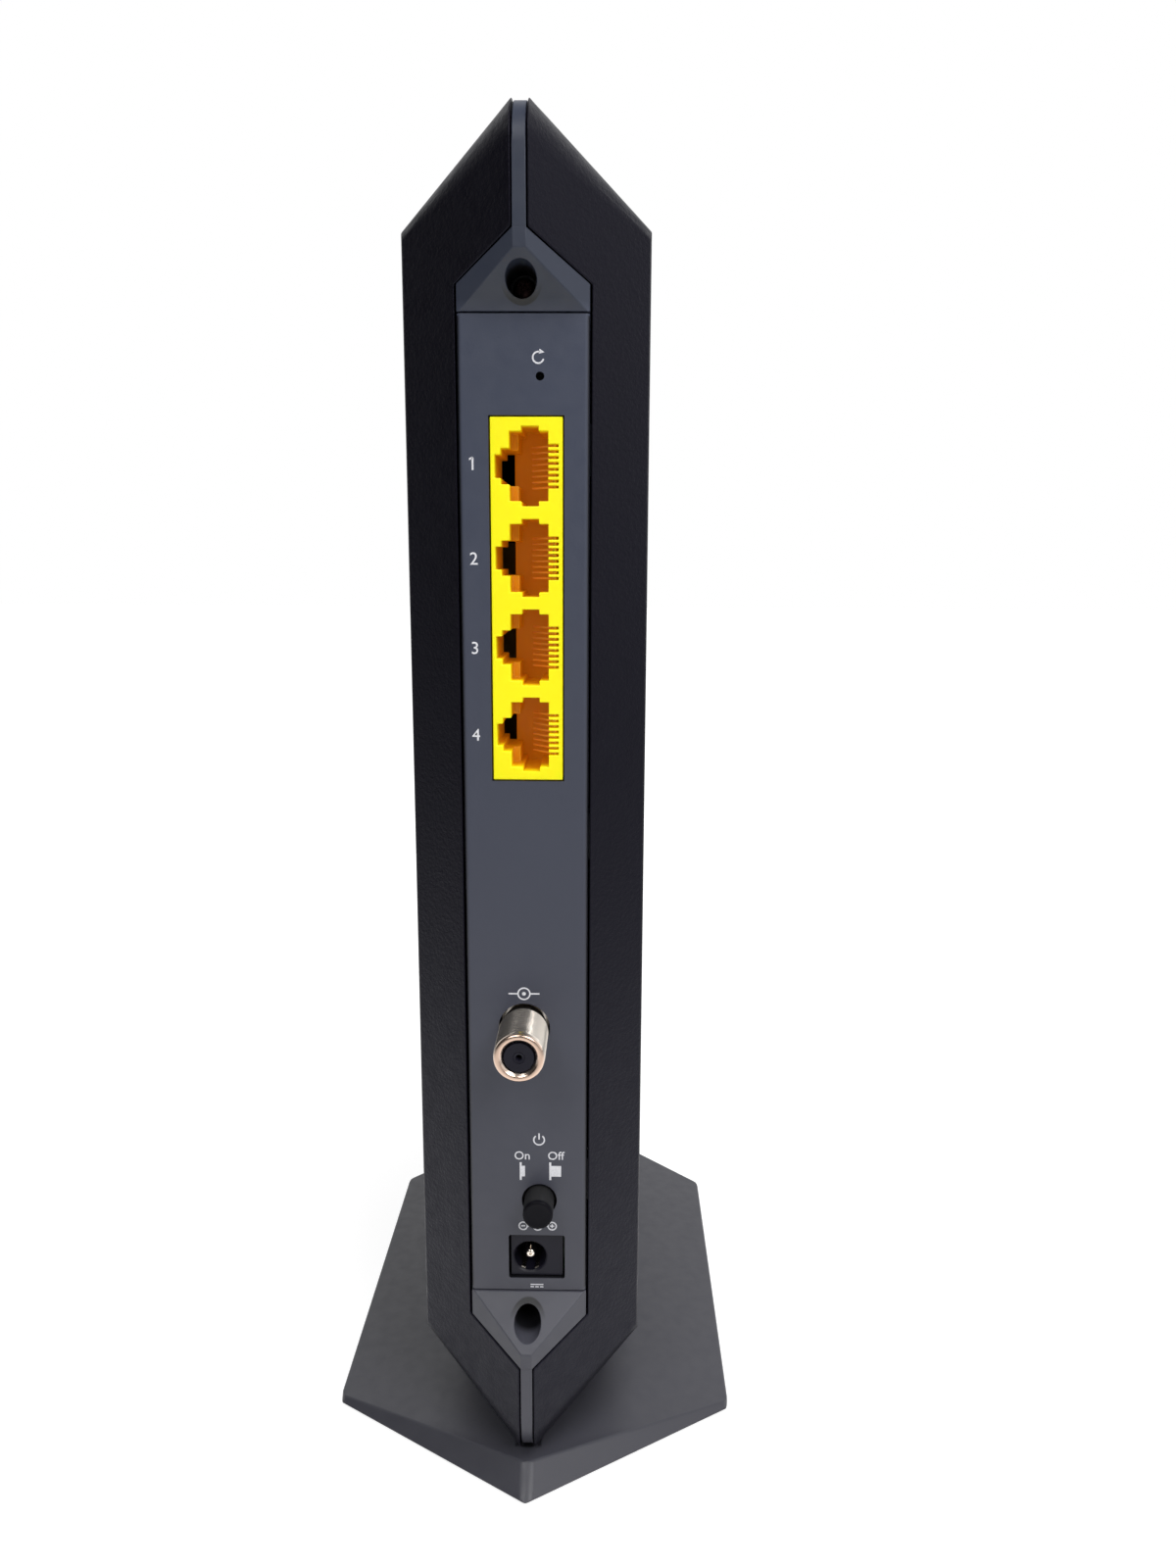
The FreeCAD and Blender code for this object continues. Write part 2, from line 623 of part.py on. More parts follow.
def spine_frame():
    """Strip that shows between the covers, its hidden flange and the facet blocks."""
    outer = spine_outline(STRIP_SINK, RIDGE_ROUND)
    inner = spine_outline(FRAME_DEPTH, RIDGE_ROUND - FRAME_DEPTH + COVER_WALL)
    behind = COVER_WALL + CLEARANCE
    strip = outer.common(block(-RIDGE_HALF, RIDGE_HALF, -FAR, FAR, 0, FAR))
    flange = envelope(behind, behind).common(
        block(-FLANGE_HALF, FLANGE_HALF, -FAR, FAR, 0, FAR))
    gap_low = PANEL_LOW - (PANEL_RECESS - STRIP_SINK)
    gap_high = PANEL_HIGH + (PANEL_RECESS - STRIP_SINK)
    tools = [
        inner,
        block(-FAR, FAR, -FAR, REAR_Y + FACET_DEPTH + FRAME_DEPTH, gap_low, gap_high),
        lens_window(),
    ]
    hoop = cut_all(strip.fuse(flange), tools)
    parts, tunnels = [hoop], []
    for seam, up in SCREW_ENDS:
        wedge, tunnel = facet_block(seam, up)
        parts += [wedge, tunnel]
        z = screw_axis_z(seam, up)
        bore = Vector(0, REAR_Y - 1, z)
        tunnels.append(rod(bore, Y_AXIS, TUNNEL_RADIUS, TUNNEL_DEPTH + 1))
        tunnels.append(rod(bore, Y_AXIS, CASE_SHANK_RADIUS + CLEARANCE / 2, FACET_DEPTH * 2))
    return cut_all(fuse_all(parts), tunnels)


def case_screws():
    """Two pan-head screws at the bottom of the tunnels."""
    screws = []
    seat = REAR_Y + TUNNEL_DEPTH
    for seam, up in SCREW_ENDS:
        z = screw_axis_z(seam, up)
        head = rod(Vector(0, seat - CASE_HEAD_HEIGHT, z), Y_AXIS,
                   CASE_HEAD_RADIUS, CASE_HEAD_HEIGHT)
        shank = rod(Vector(0, seat, z), Y_AXIS, CASE_SHANK_RADIUS, CASE_SCREW_LENGTH)
        screws.append(head.fuse(shank))
    return Part.makeCompound(screws)


# ---------------------------------------------------------------- connector panel
def io_panel():
    """Channel-shaped connector panel with its openings and side hooks."""
    half = PANEL_WIDTH / 2
    low, high = PANEL_LOW + SEAM, PANEL_HIGH - SEAM
    skin = block(-half, half, PANEL_Y, PANEL_Y + PANEL_REACH, low, high)
    long_edges = [e for e in skin.Edges if abs(e.CenterOfMass.y - PANEL_Y) < 0.01
                  and e.Length > PANEL_WIDTH * 2]
    skin = skin.makeFillet(PANEL_ROUND, long_edges)
    room = block(-half + PANEL_FLANGE, half - PANEL_FLANGE, PANEL_Y + PANEL_SKIN, FAR,
                 low + PANEL_FLANGE, high - PANEL_FLANGE)
    panel = skin.cut(room)
    hook_x = half + HOOK_REACH
    hook_y = REAR_Y + math.tan(SLANT_ANGLE) * (hook_x - RIDGE_HALF)
    hook_y += COVER_WALL / math.cos(SLANT_ANGLE) + CLEARANCE
    hooks = []
    for share in (0.12, 0.5, 0.88):
        z = low + share * (high - low)
        for side in (-1, 1):
            x0, x1 = sorted((side * (half - PANEL_FLANGE), side * hook_x))
            hooks.append(block(x0, x1, hook_y, PANEL_Y + PANEL_REACH,
                               z - HOOK_LENGTH / 2, z + HOOK_LENGTH / 2))
    return cut_all(fuse_all([panel] + hooks), panel_openings())


def panel_openings():
    """Openings through the panel, each sized from the piece behind it."""
    y0, y1 = PANEL_Y - 1, PANEL_Y + PANEL_SKIN + 1
    jack = block(BOARD_X - JACK_WIDTH - CLEARANCE, BOARD_X + CLEARANCE, y0, y1,
                 JACK_Z - CLEARANCE, JACK_Z + JACK_LENGTH + CLEARANCE)
    inlet = block(INLET_X - INLET_WIDTH / 2, INLET_X + INLET_WIDTH / 2, y0, y1,
                  INLET_Z - INLET_HEIGHT / 2, INLET_Z + INLET_HEIGHT / 2)
    upright = [e for e in inlet.Edges if abs(e.tangentAt(e.FirstParameter).y) > 0.9]
    inlet = inlet.makeFillet(INLET_CORNER, upright)
    depth = y1 - y0
    return [
        jack,
        inlet,
        rod(Vector(COAX_X, y0, COAX_Z), Y_AXIS, COAX_HOLE_RADIUS, depth),
        rod(Vector(BUTTON_X, y0, BUTTON_Z), Y_AXIS, BUTTON_HOLE_RADIUS, depth),
        rod(Vector(RESET_X, y0, RESET_Z), Y_AXIS, RESET_HOLE_RADIUS, depth),
    ]


# ---------------------------------------------------------------- network sockets
def port_centres():
    first = JACK_Z + JACK_LENGTH / 2 - PORT_PITCH * (PORT_COUNT - 1) / 2
    return [first + PORT_PITCH * index for index in range(PORT_COUNT)]


def contact_places(centre):
    start = centre - CONTACT_PITCH * (CONTACT_COUNT - 1) / 2
    return [start + CONTACT_PITCH * index for index in range(CONTACT_COUNT)]


def port_cavity(z):
    """Tools that cut one plug cavity: opening, notches, latch steps and comb."""
    y0, back = JACK_Y - 1, JACK_Y + PORT_DEPTH
    through = JACK_Y + JACK_DEPTH + 1
    half = PORT_OPENING / 2
    ledge = LATCH_WIDE / 2
    notch_x = SOCKET_X0 + PORT_NOTCH_START
    latch_x = SOCKET_X0 - LATCH_WIDE_DEPTH
    tools = [
        block(SOCKET_X0, SOCKET_X1, y0, JACK_Y + SHOULDER_DEPTH, z - half, z + half),
        block(SOCKET_X0 + SHOULDER_WIDTH, SOCKET_X1, y0, back, z - half, z + half),
        block(SOCKET_X0, SOCKET_X1, y0, back, z - ledge, z + ledge),
        block(notch_x, notch_x + PORT_NOTCH, y0, back,
              z - half - PORT_NOTCH_DEPTH, z + half + PORT_NOTCH_DEPTH),
        block(latch_x, SOCKET_X0, y0, through, z - ledge, z + ledge),
        block(latch_x - LATCH_NARROW_DEPTH, latch_x, y0, through,
              z - LATCH_NARROW / 2, z + LATCH_NARROW / 2),
    ]
    for place in contact_places(z):
        tools.append(block(SOCKET_X1 - 0.01, SOCKET_X1 + CONTACT_SLOT_DEPTH, y0, through,
                           place - CONTACT_SLOT / 2, place + CONTACT_SLOT / 2))
    return tools


def ethernet_jack():
    """Four network sockets moulded as one block that stands on the board."""
    body = block(BOARD_X - JACK_WIDTH, BOARD_X, JACK_Y, JACK_Y + JACK_DEPTH,
                 JACK_Z, JACK_Z + JACK_LENGTH)
    tools = [tool for z in port_centres() for tool in port_cavity(z)]
    return cut_all(body, tools)


def port_contacts(z):
    """Eight bent spring wires of one socket."""
    top = SOCKET_X1 + CONTACT_SLOT_DEPTH - 0.1
    wire = CONTACT_WIRE
    bend, tip = JACK_Y + 1.2, JACK_Y + PORT_DEPTH * 0.8
    tail = JACK_Y + JACK_DEPTH - 0.3
    reach = SOCKET_X1 - PORT_HEIGHT * 0.25
    outline = [
        (top, tail), (top, bend), (top - wire, bend - wire * 0.6), (reach, tip),
        (reach + wire, tip + wire * 0.6), (top - wire, bend + wire * 2.6), (top - wire, tail),
    ]
    wires = [prism_xy(outline, place - CONTACT_WIDTH / 2, place + CONTACT_WIDTH / 2)
             for place in contact_places(z)]
    return Part.makeCompound(wires)


# ---------------------------------------------------------------- coaxial port
def coax_shell():
    """Barrel, collar and die-cast foot of the cable connector."""
    tip = PANEL_Y - COAX_REACH
    collar = PANEL_Y + PANEL_SKIN + COAX_NUT_GAP
    foot = BOARD_Y0 + COAX_NUT_GAP
    shoulder = PANEL_Y - COAX_NECK
    barrel = rod(Vector(COAX_X, tip, COAX_Z), Y_AXIS, COAX_RADIUS, shoulder - tip)
    rim = [e for e in barrel.Edges if isinstance(e.Curve, Part.Circle)
           and abs(e.CenterOfMass.y - tip) < 0.01]
    barrel = barrel.makeChamfer(COAX_CHAMFER, rim)
    relief = rod(Vector(COAX_X, shoulder, COAX_Z), Y_AXIS, COAX_NECK_RADIUS, collar - shoulder)
    neck = hex_bar(Vector(COAX_X, collar, COAX_Z), Y_AXIS, 2 * (COAX_RADIUS + COAX_NUT),
                   foot - collar)
    half = COAX_BODY / 2
    base = block(COAX_X - half, BOARD_X, foot, foot + COAX_BODY, COAX_Z - half, COAX_Z + half)
    _, core_end = coax_core_span()
    bore = rod(Vector(COAX_X, tip - 1, COAX_Z), Y_AXIS, COAX_CORE_RADIUS, core_end - tip + 1)
    return fuse_all([barrel, relief, neck, base]).cut(bore)


def coax_core_span():
    """Front and back of the insulator along Y."""
    return PANEL_Y - COAX_REACH + COAX_SINK, BOARD_Y0 + COAX_BODY / 2


def coax_insulator():
    """Plug of insulation in the barrel, with the hole for the centre conductor."""
    face, end = coax_core_span()
    core = rod(Vector(COAX_X, face, COAX_Z), Y_AXIS, COAX_CORE_RADIUS, end - face)
    hole = rod(Vector(COAX_X, face, COAX_Z), Y_AXIS, COAX_HOLE, end - face)
    seat = rod(Vector(COAX_X, face + COAX_CONTACT_SINK, COAX_Z), Y_AXIS,
               COAX_CONTACT_RADIUS, end - face)
    return cut_all(core, [hole, seat])


def coax_contact():
    """Split centre contact behind the insulator's hole."""
    face, end = coax_core_span()
    start = face + COAX_CONTACT_SINK
    reach = COAX_CONTACT_RADIUS
    tube = ring(Vector(COAX_X, start, COAX_Z), Y_AXIS, reach, COAX_HOLE, end - start)
    slit = block(COAX_X - reach / 8, COAX_X + reach / 8, start - 1, start + COAX_CONTACT_SLIT,
                 COAX_Z - reach, COAX_Z + reach)
    return tube.cut(slit)


# ---------------------------------------------------------------- power inlet
def inlet_axis(depth):
    """Point on the inlet's axis, this far behind the jack's own face."""
    return Vector(INLET_BORE_X, PANEL_Y + INLET_SINK + depth, INLET_Z - INLET_BORE_DROP)


def inlet_housing():
    """Moulded body of the barrel-plug inlet."""
    face = PANEL_Y + INLET_SINK
    x0 = BOARD_X - INLET_JACK_WIDTH
    body = block(x0, BOARD_X, face, face + INLET_JACK_DEPTH,
                 INLET_Z - INLET_JACK_HEIGHT / 2, INLET_Z + INLET_JACK_HEIGHT / 2)
    lead_in = Part.makeCone(INLET_BORE_RADIUS + INLET_LEAD_IN, INLET_BORE_RADIUS,
                            INLET_LEAD_IN, inlet_axis(0), Y_AXIS)
    bore = rod(inlet_axis(-1), Y_AXIS, INLET_BORE_RADIUS, INLET_BORE_DEPTH + 1)
    pin_hole = rod(inlet_axis(0), Y_AXIS, INLET_PIN_RADIUS, INLET_JACK_DEPTH + 1)
    return cut_all(body, [bore, lead_in, pin_hole])


def inlet_pin():
    """Hollow centre pin, slit at its tip."""
    length = INLET_JACK_DEPTH - INLET_PIN_SHORT
    pin = rod(inlet_axis(INLET_PIN_SHORT), Y_AXIS, INLET_PIN_RADIUS, length)
    hollow = rod(inlet_axis(INLET_PIN_SHORT), Y_AXIS, INLET_PIN_RADIUS * 0.45,
                 INLET_PIN_SLIT + INLET_PIN_RADIUS)
    tip = PANEL_Y + INLET_SINK + INLET_PIN_SHORT
    thin = INLET_PIN_RADIUS / 5
    middle = inlet_axis(0).z
    slit = block(INLET_BORE_X - thin, INLET_BORE_X + thin, tip - 1, tip + INLET_PIN_SLIT,
                 middle, middle + INLET_PIN_RADIUS)
    return cut_all(pin, [hollow, slit])


def inlet_spring():
    """Forked leaf that grips the plug's barrel from below."""
    leaf = ring(inlet_axis(INLET_LEAF_SINK), Y_AXIS, INLET_BORE_RADIUS,
                INLET_BORE_RADIUS - INLET_LEAF, INLET_BORE_DEPTH - INLET_LEAF_SINK)
    below = block(-FAR, FAR, -FAR, FAR, 0, inlet_axis(0).z - INLET_BORE_RADIUS * 0.72)
    fork = block(INLET_BORE_X - INLET_FORK / 2, INLET_BORE_X + INLET_FORK / 2, -FAR,
                 PANEL_Y + INLET_SINK + INLET_BORE_DEPTH * 0.7, 0, INLET_Z)
    return leaf.common(below).cut(fork)


# ---------------------------------------------------------------- power switch
def switch_y():
    """Front face of the power switch body."""
    return PANEL_Y + BUTTON_LENGTH - BUTTON_REACH + BUTTON_TRAVEL + SWITCH_GAP


def power_button():
    """Round cap that is pressed on the switch plunger."""
    tip = PANEL_Y - BUTTON_REACH
    cap = rod(Vector(BUTTON_X, tip, BUTTON_Z), Y_AXIS, BUTTON_RADIUS, BUTTON_LENGTH)
    rim = [e for e in cap.Edges if isinstance(e.Curve, Part.Circle)
           and abs(e.CenterOfMass.y - tip) < 0.01]
    cap = cap.makeChamfer(BUTTON_RIM, rim)
    collar = rod(Vector(BUTTON_X, PANEL_Y + PANEL_SKIN + CLEARANCE, BUTTON_Z), Y_AXIS,
                 BUTTON_HOLE_RADIUS + BUTTON_STOP, BUTTON_COLLAR)
    half = PLUNGER_SIDE / 2
    socket = block(BUTTON_X - half, BUTTON_X + half, tip + BUTTON_SOCKET, FAR,
                   BUTTON_Z - half, BUTTON_Z + half)
    return fuse_all([cap, collar]).cut(socket)


def power_plunger():
    """Square plunger of the push-push switch."""
    half = PLUNGER_SIDE / 2
    y0 = PANEL_Y - BUTTON_REACH + BUTTON_SOCKET
    return block(BUTTON_X - half, BUTTON_X + half, y0, switch_y() + PLUNGER_ENTRY,
                 BUTTON_Z - half, BUTTON_Z + half)


def power_switch():
    """Switch body, open where the plunger slides."""
    half = SWITCH_SIDE / 2
    y0 = switch_y()
    body = block(BOARD_X - SWITCH_SIDE, BOARD_X, y0, y0 + SWITCH_LENGTH,
                 BUTTON_Z - half, BUTTON_Z + half)
    slide = PLUNGER_SIDE / 2 + CLEARANCE
    end = y0 + PLUNGER_ENTRY + BUTTON_TRAVEL + CLEARANCE
    guide = block(BUTTON_X - slide, BUTTON_X + slide, y0 - 1, end,
                  BUTTON_Z - slide, BUTTON_Z + slide)
    return body.cut(guide)


# ---------------------------------------------------------------- reset switch
def reset_switch():
    """Side-pressed tactile switch behind the reset hole."""
    half = RESET_SWITCH_WIDTH / 2
    y0 = BOARD_Y0 + RESET_SWITCH_SETBACK
    body = block(RESET_X - RESET_PLUNGER_RADIUS * 2, BOARD_X, y0, y0 + RESET_SWITCH_DEPTH,
                 RESET_Z - half, RESET_Z + half)
    guide = rod(Vector(RESET_X, y0 - 1, RESET_Z), Y_AXIS, RESET_PLUNGER_RADIUS + CLEARANCE,
                1 + RESET_PLUNGER_ENTRY + RESET_TRAVEL + CLEARANCE)
    return body.cut(guide)


def reset_plunger():
    """Small plunger that a pin pushes."""
    y0 = PANEL_Y + PANEL_SKIN + CLEARANCE
    end = BOARD_Y0 + RESET_SWITCH_SETBACK + RESET_PLUNGER_ENTRY
    return rod(Vector(RESET_X, y0, RESET_Z), Y_AXIS, RESET_PLUNGER_RADIUS, end - y0)


# ---------------------------------------------------------------- main board
def main_board():
    """Circuit board with corner notches, screw holes and heat-sink pin holes."""
    notch_y = BOARD_Y0 + BOARD_NOTCH
    cut = BOARD_NOTCH
    outline = [
        (BOARD_Y0, NOTCH_LOW), (notch_y, NOTCH_LOW), (notch_y, BOARD_Z0),
        (BOARD_Y1 - cut, BOARD_Z0), (BOARD_Y1, BOARD_Z0 + cut),
        (BOARD_Y1, BOARD_Z1 - cut), (BOARD_Y1 - cut, BOARD_Z1),
        (notch_y, BOARD_Z1), (notch_y, NOTCH_HIGH), (BOARD_Y0, NOTCH_HIGH),
    ]
    board = prism_yz(outline, BOARD_X, BOARD_X + BOARD_THICKNESS)
    holes = [rod(Vector(BOARD_X, y, z), X_AXIS, BOARD_SCREW_RADIUS + CLEARANCE / 2,
                 BOARD_THICKNESS) for y, z in board_holes()]
    holes += [rod(Vector(BOARD_X, y, z), X_AXIS, SINK_PIN_RADIUS + CLEARANCE / 2,
                  BOARD_THICKNESS) for y, z in sink_pin_places()]
    return cut_all(board, holes)


def board_screws():
    """Four hexagon-head screws that clamp the board to the right cover's posts."""
    screws = []
    for y, z in board_holes():
        head = hex_bar(Vector(BOARD_X - BOARD_HEAD_HEIGHT, y, z), X_AXIS,
                       BOARD_HEAD_ACROSS, BOARD_HEAD_HEIGHT)
        shank = rod(Vector(BOARD_X, y, z), X_AXIS, BOARD_SCREW_RADIUS, BOARD_SCREW_LENGTH)
        screws.append(head.fuse(shank))
    return Part.makeCompound(screws)


def on_board(spec):
    """Rectangular package that stands on the board."""
    y, z, size_y, size_z, height = spec
    y, z = BOARD_Y0 + y, PANEL_LOW + z
    return block(BOARD_X - height, BOARD_X, y - size_y / 2, y + size_y / 2,
                 z - size_z / 2, z + size_z / 2)


def capacitor(spec):
    """Round electrolytic can."""
    y, z, radius, height = spec
    return rod(Vector(BOARD_X, BOARD_Y0 + y, PANEL_LOW + z), -X_AXIS, radius, height)


def sink_pin_places():
    """Two opposite corners of the heat sink."""
    y, z = BOARD_Y0 + PROCESSOR[0], PANEL_LOW + PROCESSOR[1]
    reach = SINK_SIDE / 2 - SINK_PIN_INSET
    return [(y - reach, z - reach), (y + reach, z + reach)]


def thermal_pad():
    """Soft pad between processor and heat sink."""
    y, z, size_y, size_z, height = PROCESSOR
    y, z = BOARD_Y0 + y, PANEL_LOW + z
    half_y, half_z = size_y / 2 - PAD_MARGIN, size_z / 2 - PAD_MARGIN
    face = BOARD_X - height
    return block(face - PAD_THICKNESS, face, y - half_y, y + half_y, z - half_z, z + half_z)


def heat_sink():
    """Extruded sink: a base plate and upright fins, with two pin holes."""
    y, z = BOARD_Y0 + PROCESSOR[0], PANEL_LOW + PROCESSOR[1]
    face = BOARD_X - PROCESSOR[4] - PAD_THICKNESS
    half = SINK_SIDE / 2
    parts = [block(face - SINK_BASE, face, y - half, y + half, z - half, z + half)]
    step = (SINK_SIDE - SINK_FIN_THICKNESS) / (SINK_FIN_COUNT - 1)
    for index in range(SINK_FIN_COUNT):
        y0 = y - half + index * step
        parts.append(block(face - SINK_BASE - SINK_FIN_HEIGHT, face - SINK_BASE,
                           y0, y0 + SINK_FIN_THICKNESS, z - half, z + half))
    sink = fuse_all(parts)
    tools = []
    for py, pz in sink_pin_places():
        tools.append(rod(Vector(face - SINK_BASE - 1, py, pz), X_AXIS,
                         SINK_PIN_RADIUS + CLEARANCE / 2, SINK_BASE + 2))
        room = SINK_PIN_WIDE / 2 + CLEARANCE * 2
        tools.append(block(face - SINK_BASE - SINK_FIN_HEIGHT - 1, face - SINK_BASE,
                           py - room, py + room, pz - room, pz + room))
    return cut_all(sink, tools)


def heat_sink_pins():
    """Two push pins that hold the sink down and grip behind the board."""
    face = BOARD_X - PROCESSOR[4] - PAD_THICKNESS - SINK_BASE
    back = BOARD_X + BOARD_THICKNESS
    pins = []
    for y, z in sink_pin_places():
        head = hex_bar(Vector(face - SINK_PIN_HEAD, y, z), X_AXIS, SINK_PIN_WIDE,
                       SINK_PIN_HEAD)
        shank = hex_bar(Vector(face, y, z), X_AXIS, SINK_PIN_RADIUS * math.sqrt(3),
                        back - face)
        barb = hex_bar(Vector(back, y, z), X_AXIS, SINK_PIN_RADIUS * 3, SINK_PIN_BARB)
        pins.append(fuse_all([head, shank, barb]))
    return Part.makeCompound(pins)


def tuner_frame():
    """Low fence soldered round the tuner."""
    y, z, size_y, size_z, height = TUNER_CAN
    outer = on_board((y, z, size_y, size_z, height - CAN_SHEET))
    sheet = 2 * CAN_SHEET
    inner = on_board((y, z, size_y - sheet, size_z - sheet, height))
    return outer.cut(inner)


def tuner_lid():
    """Pressed lid that snaps over the fence, with a row of cooling slots."""
    y, z, size_y, size_z, height = TUNER_CAN
    slip, wrap = CAN_SLIP, CAN_SLIP + 2 * CAN_SHEET
    shell = on_board((y, z, size_y + wrap, size_z + wrap, height))
    room = on_board((y, z, size_y + slip, size_z + slip, height - CAN_SHEET))
    foot = on_board((y, z, size_y + 2 * wrap, size_z + 2 * wrap, height - LID_SKIRT))
    slots = []
    for index in range(LID_SLOT_COUNT):
        slot_y = y + (index - (LID_SLOT_COUNT - 1) / 2) * LID_SLOT_PITCH
        slots.append(on_board((slot_y, z, LID_SLOT_WIDTH, LID_SLOT_LENGTH, height)))
    return cut_all(shell, [room, foot] + slots)


def wifi_antenna(y):
    """Stamped antenna: a foot on the board, a riser and a folded arm."""
    z = BOARD_Z1 - ANTENNA_STRIP
    y0 = BOARD_Y0 + y
    sheet, strip = ANTENNA_SHEET, ANTENNA_STRIP
    top = BOARD_X - ANTENNA_LIFT
    foot = block(BOARD_X - sheet, BOARD_X, y0, y0 + strip, z - strip, z)
    riser = block(top, BOARD_X, y0, y0 + strip, z - sheet, z)
    arm = block(top, top + sheet, y0, y0 + ANTENNA_LENGTH, z - strip, z)
    feed = block(top, BOARD_X, y0 + strip * 2, y0 + strip * 2.4, z - sheet, z)
    return fuse_all([foot, riser, arm, feed])


# ---------------------------------------------------------------- indicators
def lens_span(grow=0.0):
    """Lower and upper end of the indicator lens."""
    return LED_Z - LENS_MARGIN - grow, LED_Z + LED_SPAN + LENS_MARGIN + grow


def indicator_leds():
    """Side-looking lamps on the board's front edge."""
    lamps = []
    for index in range(LED_COUNT):
        z = LED_Z + index * LED_PITCH
        lamps.append(block(BOARD_X - LED_HEIGHT, BOARD_X, BOARD_Y1 - LED_DEPTH, BOARD_Y1,
                           z - LED_WIDTH / 2, z + LED_WIDTH / 2))
    return Part.makeCompound(lamps)


def indicator_lens():
    """Tinted strip that closes the front edge over the light guide."""
    low, high = lens_span()
    seat = FRONT_Y - FRAME_DEPTH
    back = seat - LENS_LIP_THICKNESS
    lip_half, room_half = LENS_HALF + LENS_LIP, LENS_HALF - LENS_WALL
    face = envelope(0).common(block(-LENS_HALF, LENS_HALF, back, FAR, low, high))
    lip = block(-lip_half, lip_half, back, seat, low, high)
    room = block(-room_half, room_half, back - 1, FRONT_Y - LENS_SKIN,
                 low + LENS_WALL, high - LENS_WALL)
    return fuse_all([face, lip]).cut(room)


def light_guide():
    """Clear bar behind the lens with one arm for each lamp."""
    low, high = lens_span(-LENS_WALL - CLEARANCE)
    y1 = FRONT_Y - LENS_SKIN - CLEARANCE
    y0 = FRONT_Y - FRAME_DEPTH - LENS_LIP_THICKNESS - GUIDE_THICKNESS
    half = GUIDE_THICKNESS / 2
    start = BOARD_Y1 + CLEARANCE
    bend = y0 + GUIDE_THICKNESS
    parts = [block(-half, half, y0, y1, low, high)]
    arm = [
        (BOARD_X - LED_HEIGHT, start), (BOARD_X, start), (BOARD_X, start + half),
        (half, bend), (0, bend), (0, y0),
    ]
    for index in range(LED_COUNT):
        z = LED_Z + index * LED_PITCH
        parts.append(prism_xy(arm, z - LED_WIDTH / 2, z + LED_WIDTH / 2))
    return fuse_all(parts)


# ---------------------------------------------------------------- stand
def stand_outline(inset=0.0, side_inset=None):
    """Hexagon of the stand seen from above, with the edges moved inwards."""
    side_inset = inset if side_inset is None else side_inset
    half = STAND_WIDTH / 2
    rear = REAR_Y - STAND_OVERHANG
    front = rear + STAND_DEPTH
    rear_corner, front_corner = rear + STAND_REAR_RUN, front - STAND_FRONT_RUN
    slope_rear = math.hypot(half, STAND_REAR_RUN) / half * inset
    slope_front = math.hypot(half, STAND_FRONT_RUN) / half * inset
    lift_rear = slope_rear - side_inset * STAND_REAR_RUN / half
    lift_front = slope_front - side_inset * STAND_FRONT_RUN / half
    side = half - side_inset
    return [
        (0, rear + slope_rear), (side, rear_corner + lift_rear),
        (side, front_corner - lift_front), (0, front - slope_front),
        (-side, front_corner - lift_front), (-side, rear_corner + lift_rear),
    ]


def roof(drop=0.0):
    """Solid under the two flat slopes of the stand's top."""
    half = STAND_WIDTH / 2
    crest, edge = STAND_CREST - drop, STAND_EDGE - drop
    outline = [(0, crest), (half, edge), (half, -FAR), (-half, -FAR), (-half, edge)]
    return prism_xz(outline, -FAR, FAR)


def stand_blank():
    """Roofed plate with upright sides and leaning ends."""
    top = STAND_CREST + 1
    lower = [Vector(x, y, FOOT_PROUD) for x, y in stand_outline()]
    lean = STAND_LEAN * (top - FOOT_PROUD)
    upper = [Vector(x, y, top) for x, y in stand_outline(lean, 0.0)]
    wires = [Part.makePolygon(points + points[:1]) for points in (lower, upper)]
    return Part.makeLoft(wires, True, True).common(roof())


def stand_pockets():
    """Hollows under the plate, parted by ribs and kept clear of the centre."""
    field = prism_xy(stand_outline(STAND_RIM), -1, FAR).common(roof(STAND_SKIN))
    first, last = saddle_places()
    keep = [block(-LATCH_X - LATCH_THICKNESS, LATCH_X + LATCH_THICKNESS, -FAR, FAR, -2, FAR)]
    for y in (first, (first + last) / 2, last):
        keep.append(block(-FAR, FAR, y - STAND_RIB, y + STAND_RIB, -2, FAR))
    for side in (-1, 1):
        x = side * STAND_WIDTH / 4
        keep.append(block(x - STAND_RIB / 2, x + STAND_RIB / 2, -FAR, FAR, -2, FAR))
    pad = FOOT_ACROSS / math.sqrt(3) + STAND_RIB
    for x, y in foot_places():
        keep.append(block(x - pad, x + pad, y - pad, y + pad, -2, FAR))
    return cut_all(field, keep)


def foot_places():
    """Centres of the six rubber feet."""
    points = stand_outline(FOOT_INSET)
    return [(x, y) for x, y in points]


def saddle(y):
    """Upright V-shaped rib that carries the body's lower gable."""
    top = LOW_RIDGE + math.tan(GABLE_ANGLE) * (SADDLE_HALF - RIDGE_HALF)
    half = SADDLE_THICKNESS / 2
    base = STAND_CREST - STAND_SKIN
    return block(-SADDLE_HALF, SADDLE_HALF, y - half, y + half, base - 1, top)


def latch(y):
    """Springy hook on the right that grips inside the cover's lower face."""
    rise = math.tan(GABLE_ANGLE)
    skin = COVER_WALL / math.cos(GABLE_ANGLE) + CLEARANCE
    x1 = LATCH_X + LATCH_THICKNESS
    x2 = x1 + LATCH_BARB

    def inside(x):
        return LOW_RIDGE + rise * (x - RIDGE_HALF) + skin

    outline = [
        (LATCH_X, FOOT_PROUD + 1), (x1, FOOT_PROUD + 1), (x1, inside(x1)),
        (x2, inside(x2)), (x2, inside(x2) + 0.5), (x1, inside(x2) + 2.5),
        (LATCH_X, inside(x2) + 2.5),
    ]
    return prism_xz(outline, y - LATCH_LENGTH / 2, y + LATCH_LENGTH / 2)


